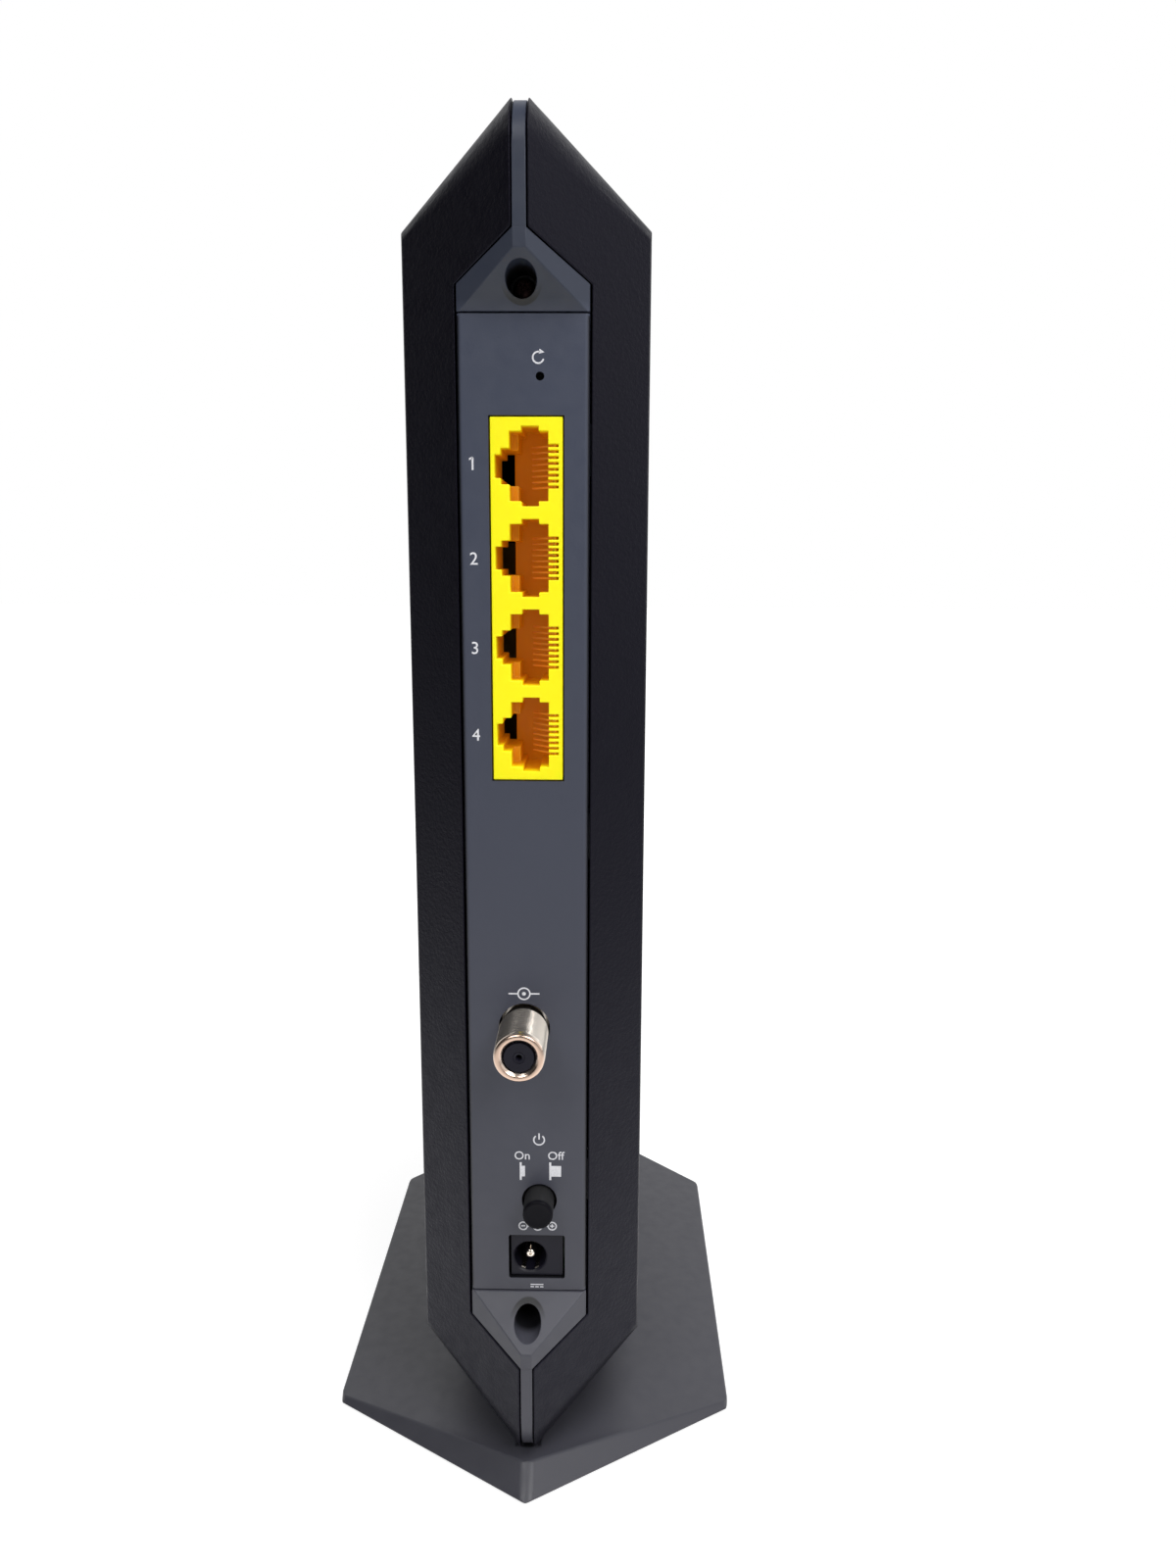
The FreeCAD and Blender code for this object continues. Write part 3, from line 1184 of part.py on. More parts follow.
def stand():
    """Hexagonal stand with a nest for the lower ridge, two saddles and four latches."""
    first, last = saddle_places()
    plate = stand_blank().cut(stand_pockets())
    body = fuse_all([plate, saddle(first), saddle(last)])
    nest = envelope(-CLEARANCE).common(spine_outline(-CLEARANCE, RIDGE_ROUND + CLEARANCE))
    body = body.cut(nest)
    latches = []
    for y in (first, last):
        latches += [latch(y), mirrored(latch(y))]
    seats = [hex_bar(Vector(x, y, FOOT_PROUD - 1), Z_AXIS, FOOT_ACROSS,
                     FOOT_THICKNESS - FOOT_PROUD + 1) for x, y in foot_places()]
    return cut_all(fuse_all([body] + latches), seats)


def rubber_foot(x, y):
    """Six-sided pad pressed into a seat under the stand."""
    return hex_bar(Vector(x, y, 0), Z_AXIS, FOOT_ACROSS, FOOT_THICKNESS)


# ---------------------------------------------------------------- assembly
def build_nodes():
    """Every sub-part by node name."""
    nodes = {
        "left_cover": left_cover(),
        "right_cover": right_cover(),
        "spine_frame": spine_frame(),
        "case_screws": case_screws(),
        "io_panel": io_panel(),
        "ethernet_jack": ethernet_jack(),
        "coax_shell": coax_shell(),
        "coax_insulator": coax_insulator(),
        "coax_contact": coax_contact(),
        "inlet_housing": inlet_housing(),
        "inlet_pin": inlet_pin(),
        "inlet_spring": inlet_spring(),
        "power_button": power_button(),
        "power_plunger": power_plunger(),
        "power_switch": power_switch(),
        "reset_switch": reset_switch(),
        "reset_plunger": reset_plunger(),
        "main_board": main_board(),
        "board_screws": board_screws(),
        "processor": on_board(PROCESSOR),
        "thermal_pad": thermal_pad(),
        "heat_sink": heat_sink(),
        "heat_sink_pins": heat_sink_pins(),
        "tuner_frame": tuner_frame(),
        "tuner_lid": tuner_lid(),
        "indicator_leds": indicator_leds(),
        "indicator_lens": indicator_lens(),
        "light_guide": light_guide(),
        "stand": stand(),
    }
    for number, z in enumerate(reversed(port_centres()), start=1):
        nodes[f"port_{number}_contacts"] = port_contacts(z)
    for name, spec in PACKAGES.items():
        nodes[name] = on_board(spec)
    for name, spec in CAPACITORS.items():
        nodes[name] = capacitor(spec)
    for name, place in ANTENNAS.items():
        nodes[name] = wifi_antenna(place)
    for number, (x, y) in enumerate(foot_places(), start=1):
        nodes[f"foot_{number}"] = rubber_foot(x, y)
    return nodes


def main():
    os.makedirs("parts", exist_ok=True)
    for name, shape in build_nodes().items():
        shape.exportStep(f"parts/{name}.step")
        box = shape.BoundBox
        state = "ok" if shape.isValid() else "INVALID"
        print(f"{name:18s} {len(shape.Solids):2d} solids {len(shape.Faces):4d} faces "
              f"{shape.Volume:10.1f} mm3  X {box.XMin:7.2f} {box.XMax:7.2f}  "
              f"Y {box.YMin:7.2f} {box.YMax:7.2f}  Z {box.ZMin:7.2f} {box.ZMax:7.2f}  {state}")


main()
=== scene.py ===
"""Dressed model of an upright cable modem router on its hexagonal stand.

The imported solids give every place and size.  Each sub-assembly is a class that
builds its finer meshes round those solids, gives them their finish and says
which body they ride on.  Lengths in the classes are millimetres; Blender's own
coordinates are metres.
"""

from __future__ import annotations

import logging
import math
from collections.abc import Callable, Iterable, Sequence
from dataclasses import dataclass, field
from enum import Enum

import bmesh
import bpy
from mathutils import Matrix, Vector

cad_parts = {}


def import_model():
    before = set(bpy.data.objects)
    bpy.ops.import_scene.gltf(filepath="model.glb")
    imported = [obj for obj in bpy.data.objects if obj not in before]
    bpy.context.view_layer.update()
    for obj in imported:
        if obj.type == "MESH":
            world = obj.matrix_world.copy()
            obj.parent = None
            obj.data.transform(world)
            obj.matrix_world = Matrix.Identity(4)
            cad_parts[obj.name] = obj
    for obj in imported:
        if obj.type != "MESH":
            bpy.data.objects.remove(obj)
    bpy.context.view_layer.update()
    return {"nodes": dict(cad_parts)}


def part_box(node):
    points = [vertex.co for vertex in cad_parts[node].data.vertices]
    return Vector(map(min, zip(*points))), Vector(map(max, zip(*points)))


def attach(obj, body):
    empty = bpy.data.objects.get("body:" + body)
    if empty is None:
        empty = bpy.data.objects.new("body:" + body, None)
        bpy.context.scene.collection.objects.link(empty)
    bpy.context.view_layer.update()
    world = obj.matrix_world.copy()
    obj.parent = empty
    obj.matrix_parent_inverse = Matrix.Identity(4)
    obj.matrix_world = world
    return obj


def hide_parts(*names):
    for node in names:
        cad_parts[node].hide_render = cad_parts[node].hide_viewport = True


LOG = logging.getLogger("router")
MM = 0.001
# Corners nearer than this, in metres, become one.
MERGE = 2e-6
# Faces that turn less than this lie in one plane.
FLAT_ANGLE = math.radians(0.3)
# Edges that turn at least this much are softened.
SOFT_ANGLE = math.radians(25.0)
# Share of the shortest neighbouring edge that a softened edge may take.
ROOM_SHARE = 0.35
# Sine of the turn from which a face's outline counts as turning inwards.
INWARD_TURN = 0.02
# Angle in degrees from which an edge stays sharp.
CREASE = 35.0
QUARTER_TURN = math.pi / 2
Y_AXIS = Vector((0.0, 1.0, 0.0))
Z_AXIS = Vector((0.0, 0.0, 1.0))

Colour = tuple[float, float, float, float]
Flat = tuple[float, float]
Mesh = bmesh.types.BMesh
Face = bmesh.types.BMFace
Socket = bpy.types.NodeSocket


class Body(Enum):
    """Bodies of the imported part."""

    ROUTER = "router"
    POWER_PUSH = "power_push"
    RESET_PUSH = "reset_push"


class Slot(Enum):
    """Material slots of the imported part."""

    COVER_BLACK = "cover_black"
    FRAME_GREY = "frame_grey"
    DARK_SCREW = "dark_screw"
    JACK_YELLOW = "jack_yellow"
    NICKEL = "nickel"
    GOLD = "gold"
    BLACK_MOULDING = "black_moulding"
    BUTTON_BLACK = "button_black"
    CIRCUIT_BOARD = "circuit_board"
    STEEL_SCREW = "steel_screw"
    CHIP_BLACK = "chip_black"
    SOFT_PAD = "soft_pad"
    SINK_ALUMINIUM = "sink_aluminium"
    CLEAR_PLASTIC = "clear_plastic"
    TINNED_SHEET = "tinned_sheet"
    TINTED_LENS = "tinted_lens"
    FERRITE = "ferrite"
    CAN_ALUMINIUM = "can_aluminium"
    FOOT_RUBBER = "foot_rubber"


def display(red: float, green: float, blue: float) -> Colour:
    """Linear colour for one written in display steps.

    Args:
        red: Red step, 0 to 255.
        green: Green step, 0 to 255.
        blue: Blue step, 0 to 255.

    Returns:
        The colour as linear light, with full alpha.
    """

    def linear(step: float) -> float:
        """Linear light of one display step."""
        share = step / 255.0
        return share / 12.92 if share <= 0.04045 else ((share + 0.055) / 1.055) ** 2.4

    return (linear(red), linear(green), linear(blue), 1.0)


def scaled(colour: Colour, share: float) -> Colour:
    """A darker or lighter version of a colour, with the same alpha."""
    return (colour[0] * share, colour[1] * share, colour[2] * share, colour[3])


def configured(item: bpy.types.bpy_struct, **settings: object) -> bpy.types.bpy_struct:
    """Set properties of one of Blender's own items and give it back."""
    for name, value in settings.items():
        setattr(item, name, value)
    return item


# ---------------------------------------------------------------- finishes
class NodeTree:
    """A node tree, with short calls for the nodes that it needs."""

    def __init__(self, tree: bpy.types.NodeTree) -> None:
        """Start from an empty tree."""
        self.tree = tree
        self.tree.nodes.clear()

    def node(self, kind: str, **settings: object) -> bpy.types.Node:
        """Add a node and set its own properties."""
        return configured(self.tree.nodes.new(kind), **settings)

    def link(self, start: Socket, end: Socket) -> None:
        """Join two sockets."""
        self.tree.links.new(start, end)

    def feed(self, target: Socket, value: object) -> None:
        """Set an input to a constant, or link a socket to it."""
        if isinstance(value, Socket):
            self.link(value, target)
        else:
            target.default_value = value

    def split(self, value: Socket) -> dict[str, Socket]:
        """Sockets X, Y and Z of a place or a direction.

        Args:
            value: Socket of the place or direction.

        Returns:
            The three sockets by the name of their axis.
        """
        made = self.node("ShaderNodeSeparateXYZ")
        self.link(value, made.inputs[0])
        return {axis: made.outputs[axis] for axis in "XYZ"}

    def remap(self, value: Socket, span: Flat, target: Flat) -> Socket:
        """Stretch a value from one range onto another, held at both ends.

        Args:
            value: Socket that is stretched.
            span: Range it comes from.
            target: Range it goes onto.

        Returns:
            The stretched value's socket.
        """
        made = self.node("ShaderNodeMapRange")
        limits = zip(("From Min", "From Max", "To Min", "To Max"), (*span, *target))
        for name, number in limits:
            made.inputs[name].default_value = number
        self.link(value, made.inputs["Value"])
        return made.outputs["Result"]

    def math(self, operation: str, first: Socket, second: object = 0.0) -> Socket:
        """Arithmetic on a socket and a number or another socket.

        Args:
            operation: Blender's name of the operation.
            first: Socket.
            second: Number or socket.

        Returns:
            The result's socket.
        """
        made = self.node("ShaderNodeMath", operation=operation)
        self.link(first, made.inputs[0])
        self.feed(made.inputs[1], second)
        return made.outputs[0]

    def chain(self, operation: str, values: Sequence[Socket]) -> Socket:
        """Arithmetic carried along a row of sockets, such as their product.

        Args:
            operation: Blender's name of the operation.
            values: Sockets, at least one.

        Returns:
            The result's socket.
        """
        total = values[0]
        for value in values[1:]:
            total = self.math(operation, total, value)
        return total

    def rays(self) -> tuple[Socket, Socket]:
        """Two sockets: 1 for the camera's own rays, and 1 for mirrored or refracted rays.

        Returns:
            The two sockets.
        """
        path = self.node("ShaderNodeLightPath").outputs
        bent = self.math("MAXIMUM", path["Is Glossy Ray"], path["Is Transmission Ray"])
        return path["Is Camera Ray"], bent


class NodeGraph(NodeTree):
    """A material's node tree, built round one principled shader."""

    def __init__(self, name: str) -> None:
        """Start a material with one principled shader.

        Args:
            name: The material's name.
        """
        self.material = bpy.data.materials.new(name)
        self.material.use_nodes = True
        super().__init__(self.material.node_tree)
        self.output = self.node("ShaderNodeOutputMaterial")
        self.shader = self.node("ShaderNodeBsdfPrincipled")
        self.link(self.shader.outputs["BSDF"], self.output.inputs["Surface"])
        self.place = self.node("ShaderNodeTexCoord").outputs["Object"]

    def noise(self, size: float, detail: float = 2.0, place: Socket | None = None) -> Socket:
        """Soft noise.

        Args:
            size: Width of its patches in millimetres.
            detail: Number of finer layers.
            place: Coordinates it follows, if not the place on the object.

        Returns:
            The noise value's socket, 0 to 1.
        """
        made = self.node("ShaderNodeTexNoise")
        made.inputs["Scale"].default_value = 1.0 / (size * MM)
        made.inputs["Detail"].default_value = detail
        self.link(place or self.place, made.inputs["Vector"])
        return made.outputs["Fac"]

    def cells(self, size: float, **settings: object) -> Socket:
        """Distance from the middle of cells with a width in millimetres.

        Args:
            size: Width of a cell.
            settings: The node's own properties.

        Returns:
            The distance's socket.
        """
        made = self.node("ShaderNodeTexVoronoi", **settings)
        made.inputs["Scale"].default_value = 1.0 / (size * MM)
        self.link(self.place, made.inputs["Vector"])
        return made.outputs["Distance"]

    def along(self, axis: str) -> Socket:
        """One coordinate of the place on the object, in metres."""
        return self.split(self.place)[axis]

    def ramp(self, value: Socket, start: float, end: float, falling: bool = False) -> Socket:
        """Rise from 0 to 1 between two places in millimetres, or fall from 1 to 0."""
        target = (1.0, 0.0) if falling else (0.0, 1.0)
        return self.remap(value, (start * MM, end * MM), target)

    def mix(self, share: Socket, first: object, second: object) -> Socket:
        """Blend two colours or colour sockets.

        Args:
            share: Socket that is 0 for the first and 1 for the second.
            first: Colour or socket.
            second: Colour or socket.

        Returns:
            The blended colour's socket.
        """
        made = self.node("ShaderNodeMix", data_type="RGBA")
        for slot, value in ((0, share), (6, first), (7, second)):
            self.feed(made.inputs[slot], value)
        return made.outputs[2]

    def bump(self, height: Socket, depth: float) -> None:
        """Tilt the shading with a height.

        Args:
            height: Height socket, 0 to 1.
            depth: Height of a full step in millimetres.
        """
        made = self.node("ShaderNodeBump")
        made.inputs["Strength"].default_value = 1.0
        made.inputs["Distance"].default_value = depth * MM
        self.link(height, made.inputs["Height"])
        self.set("Normal", made.outputs["Normal"])

    def set(self, name: str, value: object) -> None:
        """Set a shader socket to a constant, or link a socket to it."""
        self.feed(self.shader.inputs[name], value)


@dataclass(frozen=True)
class Finish:
    """A finish with a drifting colour, uneven gloss and a fine grain."""

    slot: Slot
    colour: Colour
    roughness: float
    specular: float = 0.5
    metallic: float = 0.0
    drift: float = 0.12
    drift_size: float = 14.0
    grain_size: float = 0.3
    grain_depth: float = 0.006
    gloss_drift: float = 0.12
    gloss_patch: float = 9.0
    patch_span: Flat = (0.3, 0.7)

    def paint(self, graph: NodeGraph) -> Socket:
        """Colour of the surface: the finish's own, a little darker and lighter in patches.

        Args:
            graph: The material's nodes.

        Returns:
            The colour's socket.
        """
        share = graph.remap(graph.noise(self.drift_size), self.patch_span, (0.0, 1.0))
        low, high = scaled(self.colour, 1.0 - self.drift), scaled(self.colour, 1.0 + self.drift)
        return graph.mix(share, low, high)

    def relief(self, graph: NodeGraph) -> Socket:
        """Height of the surface's grain."""
        return graph.noise(self.grain_size, 1.0)

    def details(self, graph: NodeGraph) -> None:
        """Settings that only some finishes have."""

    def build(self) -> bpy.types.Material:
        """Make the material.

        Returns:
            The finished material.
        """
        graph = NodeGraph(self.slot.value)
        graph.set("Base Color", self.paint(graph))
        graph.set("Metallic", self.metallic)
        graph.set("Specular IOR Level", self.specular)
        gloss = graph.noise(self.grain_size * self.gloss_patch)
        smooth, dull = (self.roughness * (1.0 + side * self.gloss_drift) for side in (-1, 1))
        graph.set("Roughness", graph.remap(gloss, self.patch_span, (smooth, min(1.0, dull))))
        graph.bump(self.relief(graph), self.grain_depth)
        self.details(graph)
        return graph.material


@dataclass(frozen=True)
class GrainedPlastic(Finish):
    """Moulding with the pebbled grain of an etched tool."""

    pebble: float = 0.8
    pebble_share: float = 0.7
    pebble_blend: float = 0.6
    shine: Colour = (0.78, 0.78, 1.0, 1.0)

    def details(self, graph: NodeGraph) -> None:
        """The shine is slightly blue."""
        graph.set("Specular Tint", self.shine)

    def relief(self, graph: NodeGraph) -> Socket:
        """Rounded pebbles, uneven from place to place.

        Args:
            graph: The material's nodes.

        Returns:
            The height's socket.
        """
        pebbles = graph.cells(self.pebble, feature="SMOOTH_F1")
        pebbles.node.inputs["Smoothness"].default_value = self.pebble_blend
        fine = graph.noise(self.grain_size)
        return graph.math("ADD", graph.math("MULTIPLY", pebbles, self.pebble_share), fine)


@dataclass(frozen=True)
class SocketNylon(Finish):
    """Yellow nylon with painted amber shade and a painted glow inside the sockets, besides a
    little light that soaks through it.
    """

    # Painted shade: amber that stands for the shade and the bounced yellow light deep inside
    # the sockets.
    deep: Colour = display(226, 150, 5)
    face: float = -67.2
    fade: Flat = (0.25, 4.5)
    # Strength of the painted glow at the face and deep inside the sockets.
    glow: Flat = (0.16, 0.08)
    soak: float = 0.3
    soak_reach: float = 2.0
    soak_tint: tuple[float, float, float] = (1.0, 0.5, 0.08)

    def depth(self, graph: NodeGraph) -> Socket:
        """How far into the sockets a place lies, 0 at the face; the mask of the painted shade
        and the painted glow.
        """
        start, end = (self.face + reach for reach in self.fade)
        return graph.ramp(graph.along("Y"), start, end)

    def paint(self, graph: NodeGraph) -> Socket:
        """Yellow at the face, with painted amber shade further in."""
        return graph.mix(self.depth(graph), super().paint(graph), self.deep)

    def details(self, graph: NodeGraph) -> None:
        """A little light travels through the nylon, and a painted glow in its own colour,
        weaker further in, stands for light carried through it.

        Args:
            graph: The material's nodes.
        """
        graph.set("Subsurface Weight", self.soak)
        graph.set("Subsurface Radius", self.soak_tint)
        graph.set("Subsurface Scale", self.soak_reach * MM)
        # Painted glow: emission in the nylon's own colour.
        graph.set("Emission Color", self.paint(graph))
        graph.set("Emission Strength", graph.remap(self.depth(graph), (0.0, 1.0), self.glow))


@dataclass(frozen=True)
class FrameGrey(Finish):
    """Satin grey moulding, bluer upwards, with painted shade at the top of the spine, near the
    bottom, down the screw tunnels and in the openings.
    """

    upper: Colour = display(68, 75, 94)
    rise: Flat = (20.0, 200.0)
    rise_share: float = 0.75
    # Share of the colour left by the painted shade in the tunnels and openings.
    shadow: float = 0.12
    tunnels: Flat = (33.35, 229.95)
    tunnel_wall: Flat = (3.5, 3.7)
    tunnel_mouth: Flat = (-71.0, -68.8)
    tunnel_end: Flat = (-50.0, -49.0)
    panel_front: Flat = (-66.95, -66.6)
    panel_back: Flat = (-60.0, -59.0)
    panel_side: Flat = (11.5, 11.6)
    panel_foot: Flat = (38.5, 38.6)
    panel_top: Flat = (224.9, 225.0)
    # Painted shade at the top of the spine: start, end and share of the darkened upper colour.
    crown: tuple[float, float, float] = (225.3, 227.5, 0.56)
    # Painted shade near the bottom, over the stand and the spine's foot: start, end and share
    # of the darkened colour.
    base: tuple[float, float, float] = (7.5, 6.0, 0.74)

    def tunnel(self, graph: NodeGraph, place: dict[str, Socket]) -> Socket:
        """Mask of painted shade: 1 deep inside a screw tunnel, 0 elsewhere.

        Args:
            graph: The material's nodes.
            place: Sockets of the place on the object, by axis.

        Returns:
            The share's socket.
        """
        flat = graph.node("ShaderNodeCombineXYZ")
        for axis in "XZ":
            graph.link(place[axis], flat.inputs[axis])
        reaches = []
        for height in self.tunnels:
            away = graph.node("ShaderNodeVectorMath", operation="DISTANCE")
            graph.link(flat.outputs[0], away.inputs[0])
            away.inputs[1].default_value = (0.0, 0.0, height * MM)
            reaches.append(away.outputs["Value"])
        return graph.chain("MULTIPLY", (
            graph.ramp(graph.chain("MINIMUM", reaches), *self.tunnel_wall, falling=True),
            graph.ramp(place["Y"], *self.tunnel_mouth),
            graph.ramp(place["Y"], *self.tunnel_end, falling=True),
        ))

    def opening(self, graph: NodeGraph, place: dict[str, Socket]) -> Socket:
        """Mask of painted shade: 1 on the walls of the panel's openings, 0 elsewhere."""
        return graph.chain("MULTIPLY", (
            graph.ramp(place["Y"], *self.panel_front),
            graph.ramp(place["Y"], *self.panel_back, falling=True),
            graph.ramp(graph.math("ABSOLUTE", place["X"]), *self.panel_side, falling=True),
            graph.ramp(place["Z"], *self.panel_foot),
            graph.ramp(place["Z"], *self.panel_top, falling=True),
        ))

    def paint(self, graph: NodeGraph) -> Socket:
        """Grey, bluer towards the top, with painted shade at the crown, near the bottom and
        inside the holes.

        Args:
            graph: The material's nodes.

        Returns:
            The colour's socket.
        """
        place = graph.split(graph.place)
        # Painted shade down the screw tunnels and on the walls of the openings.
        dark = graph.math("MAXIMUM", self.tunnel(graph, place), self.opening(graph, place))
        low, high = self.rise
        rise = graph.remap(place["Z"], (low * MM, high * MM), (0.0, self.rise_share))
        tone = graph.mix(rise, super().paint(graph), self.upper)
        # Painted shade at the crown and near the bottom.
        for (start, end, factor), shade in ((self.crown, self.upper), (self.base, self.colour)):
            tone = graph.mix(graph.ramp(place["Z"], start, end), tone, scaled(shade, factor))
        return graph.mix(dark, tone, scaled(self.colour, self.shadow))


@dataclass(frozen=True)
class CapBlack(Finish):
    """Black push button whose barrel is painted lighter than its face, as painted light on its
    upward side.
    """

    # Painted light: the barrel is lighter where light falls on it, not a different plastic.
    barrel: Colour = display(40, 40, 41)
    face: Flat = (-72.3, -71.6)

    def paint(self, graph: NodeGraph) -> Socket:
        """Dark face, barrel painted lighter as painted light."""
        share = graph.ramp(graph.along("Y"), *self.face)
        return graph.mix(share, super().paint(graph), self.barrel)


@dataclass(frozen=True)
class TurnedMetal(Finish):
    """Plated or brushed metal with fine lines round its own turning."""

    line: float = 0.12
    stretch: float = 0.15
    # Warmer, darker colour at the cable connector's front end.
    tip: Colour = display(228, 198, 178)
    tip_span: Flat = (-81.2, -80.5)

    def paint(self, graph: NodeGraph) -> Socket:
        """Metal, warmer and darker towards the cable connector's front end."""
        share = graph.ramp(graph.along("Y"), *self.tip_span, falling=True)
        return graph.mix(share, super().paint(graph), self.tip)

    def relief(self, graph: NodeGraph) -> Socket:
        """Fine lines across the turning axis.

        Args:
            graph: The material's nodes.

        Returns:
            The height's socket.
        """
        stretched = graph.node("ShaderNodeMapping")
        graph.link(graph.place, stretched.inputs["Vector"])
        stretched.inputs["Scale"].default_value = (self.stretch, 1.0, self.stretch)
        return graph.noise(self.line, place=stretched.outputs["Vector"])


@dataclass(frozen=True)
class BoardFinish(Finish):
    """Solder mask with copper traces showing through it."""

    copper: Colour = display(40, 92, 58)
    cell: float = 5.2
    lanes: float = 40.0

    def paint(self, graph: NodeGraph) -> Socket:
        """Mask colour, lighter over the traces.

        Args:
            graph: The material's nodes.

        Returns:
            The colour's socket.
        """
        cells = graph.cells(self.cell, distance="CHEBYCHEV")
        waves = graph.math("SINE", graph.math("MULTIPLY", cells, self.lanes))
        share = graph.remap(waves, (0.2, 0.5), (0.0, 0.8))
        return graph.mix(share, super().paint(graph), self.copper)


@dataclass(frozen=True)
class ClearFinish(Finish):
    """See-through plastic."""

    through: float = 0.9
    bending: float = 1.49

    def details(self, graph: NodeGraph) -> None:
        """Let light pass."""
        graph.set("Transmission Weight", self.through)
        graph.set("IOR", self.bending)


FINISHES: tuple[Finish, ...] = (
    GrainedPlastic(
        Slot.COVER_BLACK, display(6, 5, 14), 0.42, 0.25, drift=0.06, grain_depth=0.06
    ),
    FrameGrey(
        Slot.FRAME_GREY, display(68, 68, 76), 0.42, 0.5, drift=0.05, drift_size=22.0,
        grain_depth=0.008,
    ),
    TurnedMetal(Slot.DARK_SCREW, display(64, 46, 46), 0.34, metallic=1.0),
    SocketNylon(Slot.JACK_YELLOW, display(255, 242, 16), 0.42, 0.35, drift=0.02),
    TurnedMetal(
        Slot.NICKEL, display(250, 241, 230), 0.21, metallic=1.0, drift=0.04,
        grain_depth=0.003,
    ),
    TurnedMetal(Slot.GOLD, display(238, 172, 86), 0.4, metallic=0.8, drift=0.05),
    Finish(Slot.BLACK_MOULDING, display(22, 21, 32), 0.4, 0.25, grain_depth=0.003),
    CapBlack(Slot.BUTTON_BLACK, display(7, 6, 13), 0.45, 0.13),
    BoardFinish(Slot.CIRCUIT_BOARD, display(22, 62, 38), 0.35, drift_size=30.0),
    TurnedMetal(Slot.STEEL_SCREW, display(176, 176, 180), 0.3, metallic=1.0),
    Finish(Slot.CHIP_BLACK, display(30, 30, 32), 0.6, 0.4, drift_size=4.0),
    Finish(Slot.SOFT_PAD, display(122, 138, 158), 0.8, 0.2),
    TurnedMetal(Slot.SINK_ALUMINIUM, display(150, 152, 158), 0.42, metallic=1.0),
    ClearFinish(Slot.CLEAR_PLASTIC, display(236, 240, 242), 0.12, grain_depth=0.001),
    TurnedMetal(Slot.TINNED_SHEET, display(190, 190, 188), 0.34, metallic=1.0),
    ClearFinish(Slot.TINTED_LENS, display(24, 25, 30), 0.16, grain_depth=0.001, through=0.35),
    Finish(Slot.FERRITE, display(58, 57, 60), 0.72, 0.3, drift_size=3.0),
    TurnedMetal(Slot.CAN_ALUMINIUM, display(206, 207, 210), 0.26, metallic=1.0),
    Finish(Slot.FOOT_RUBBER, display(22, 22, 23), 0.85, 0.2, grain_depth=0.01),
)
INK = display(238, 238, 243)


def ink_material() -> bpy.types.Material:
    """Pale ink of the printed marks, a little thinner in places.

    Returns:
        The ink.
    """
    graph = NodeGraph("pale_ink")
    share = graph.remap(graph.noise(0.35, 3.0), (0.35, 0.6), (0.0, 1.0))
    graph.set("Base Color", graph.mix(share, scaled(INK, 0.88), INK))
    graph.set("Roughness", 0.6)
    graph.set("Specular IOR Level", 0.3)
    return graph.material


# ---------------------------------------------------------------- mesh helpers
def point(x: float, y: float, z: float) -> Vector:
    """A place given in millimetres."""
    return Vector((x * MM, y * MM, z * MM))

def coat(item: bpy.types.Object, material: bpy.types.Material) -> None:
    """Give an object one material, in place of any it has."""
    item.data.materials.clear()
    item.data.materials.append(material)


def placed(name: str, data: bpy.types.ID) -> bpy.types.Object:
    """Put data into the scene as an object.

    Args:
        name: The object's name.
        data: Mesh, light or camera that it shows.

    Returns:
        The linked object.
    """
    made = bpy.data.objects.new(name, data)
    bpy.context.scene.collection.objects.link(made)
    return made


def corners_of(geometry: Iterable[object]) -> list[bmesh.types.BMVert]:
    """The corners among some parts of a mesh."""
    return [item for item in geometry if isinstance(item, bmesh.types.BMVert)]


def moved(mesh: Mesh, move: Vector, turn: float = 0.0, axis: str = "X") -> Mesh:
    """Turn a mesh about the origin, then shift it.

    Args:
        mesh: The mesh, which changes.
        move: How far it is shifted, in metres.
        turn: Angle of the turn, in radians.
        axis: Axis of the turn.

    Returns:
        The same mesh.
    """
    bmesh.ops.rotate(mesh, matrix=Matrix.Rotation(turn, 3, axis), verts=mesh.verts)
    bmesh.ops.translate(mesh, vec=move, verts=mesh.verts)
    return mesh


def bar(low: Vector, high: Vector, edge: float = 0.0) -> Mesh:
    """Rectangular bar between two corners.

    Args:
        low: Lowest corner, in metres.
        high: Highest corner, in metres.
        edge: Width of the rounding along every edge, in millimetres.

    Returns:
        The bar's mesh.
    """
    mesh = bmesh.new()
    bmesh.ops.create_cube(mesh, size=1.0)
    bmesh.ops.scale(mesh, vec=high - low, verts=mesh.verts)
    moved(mesh, (low + high) / 2)
    if edge:
        round_edges(mesh, list(mesh.edges), edge)
    return mesh


def round_edges(mesh: Mesh, edges: list[bmesh.types.BMEdge], width: float) -> None:
    """Round some edges of a mesh by a width in millimetres."""
    bmesh.ops.bevel(
        mesh, geom=edges, offset=width * MM, offset_type="OFFSET", segments=2,
        profile=0.5, affect="EDGES", clamp_overlap=True, material=-1,
    )


def prism(radius: float, length: float, sides: int, centre: Vector) -> Mesh:
    """Regular prism that lies along Y.

    Args:
        radius: Distance from its axis to its corners, in millimetres.
        length: Length along Y, in millimetres.
        sides: Number of its sides.
        centre: Its centre, in metres.

    Returns:
        The prism's mesh.
    """
    mesh = bmesh.new()
    bmesh.ops.create_cone(
        mesh, cap_ends=True, segments=sides, radius1=radius * MM, radius2=radius * MM,
        depth=length * MM,
    )
    return moved(mesh, centre, QUARTER_TURN)


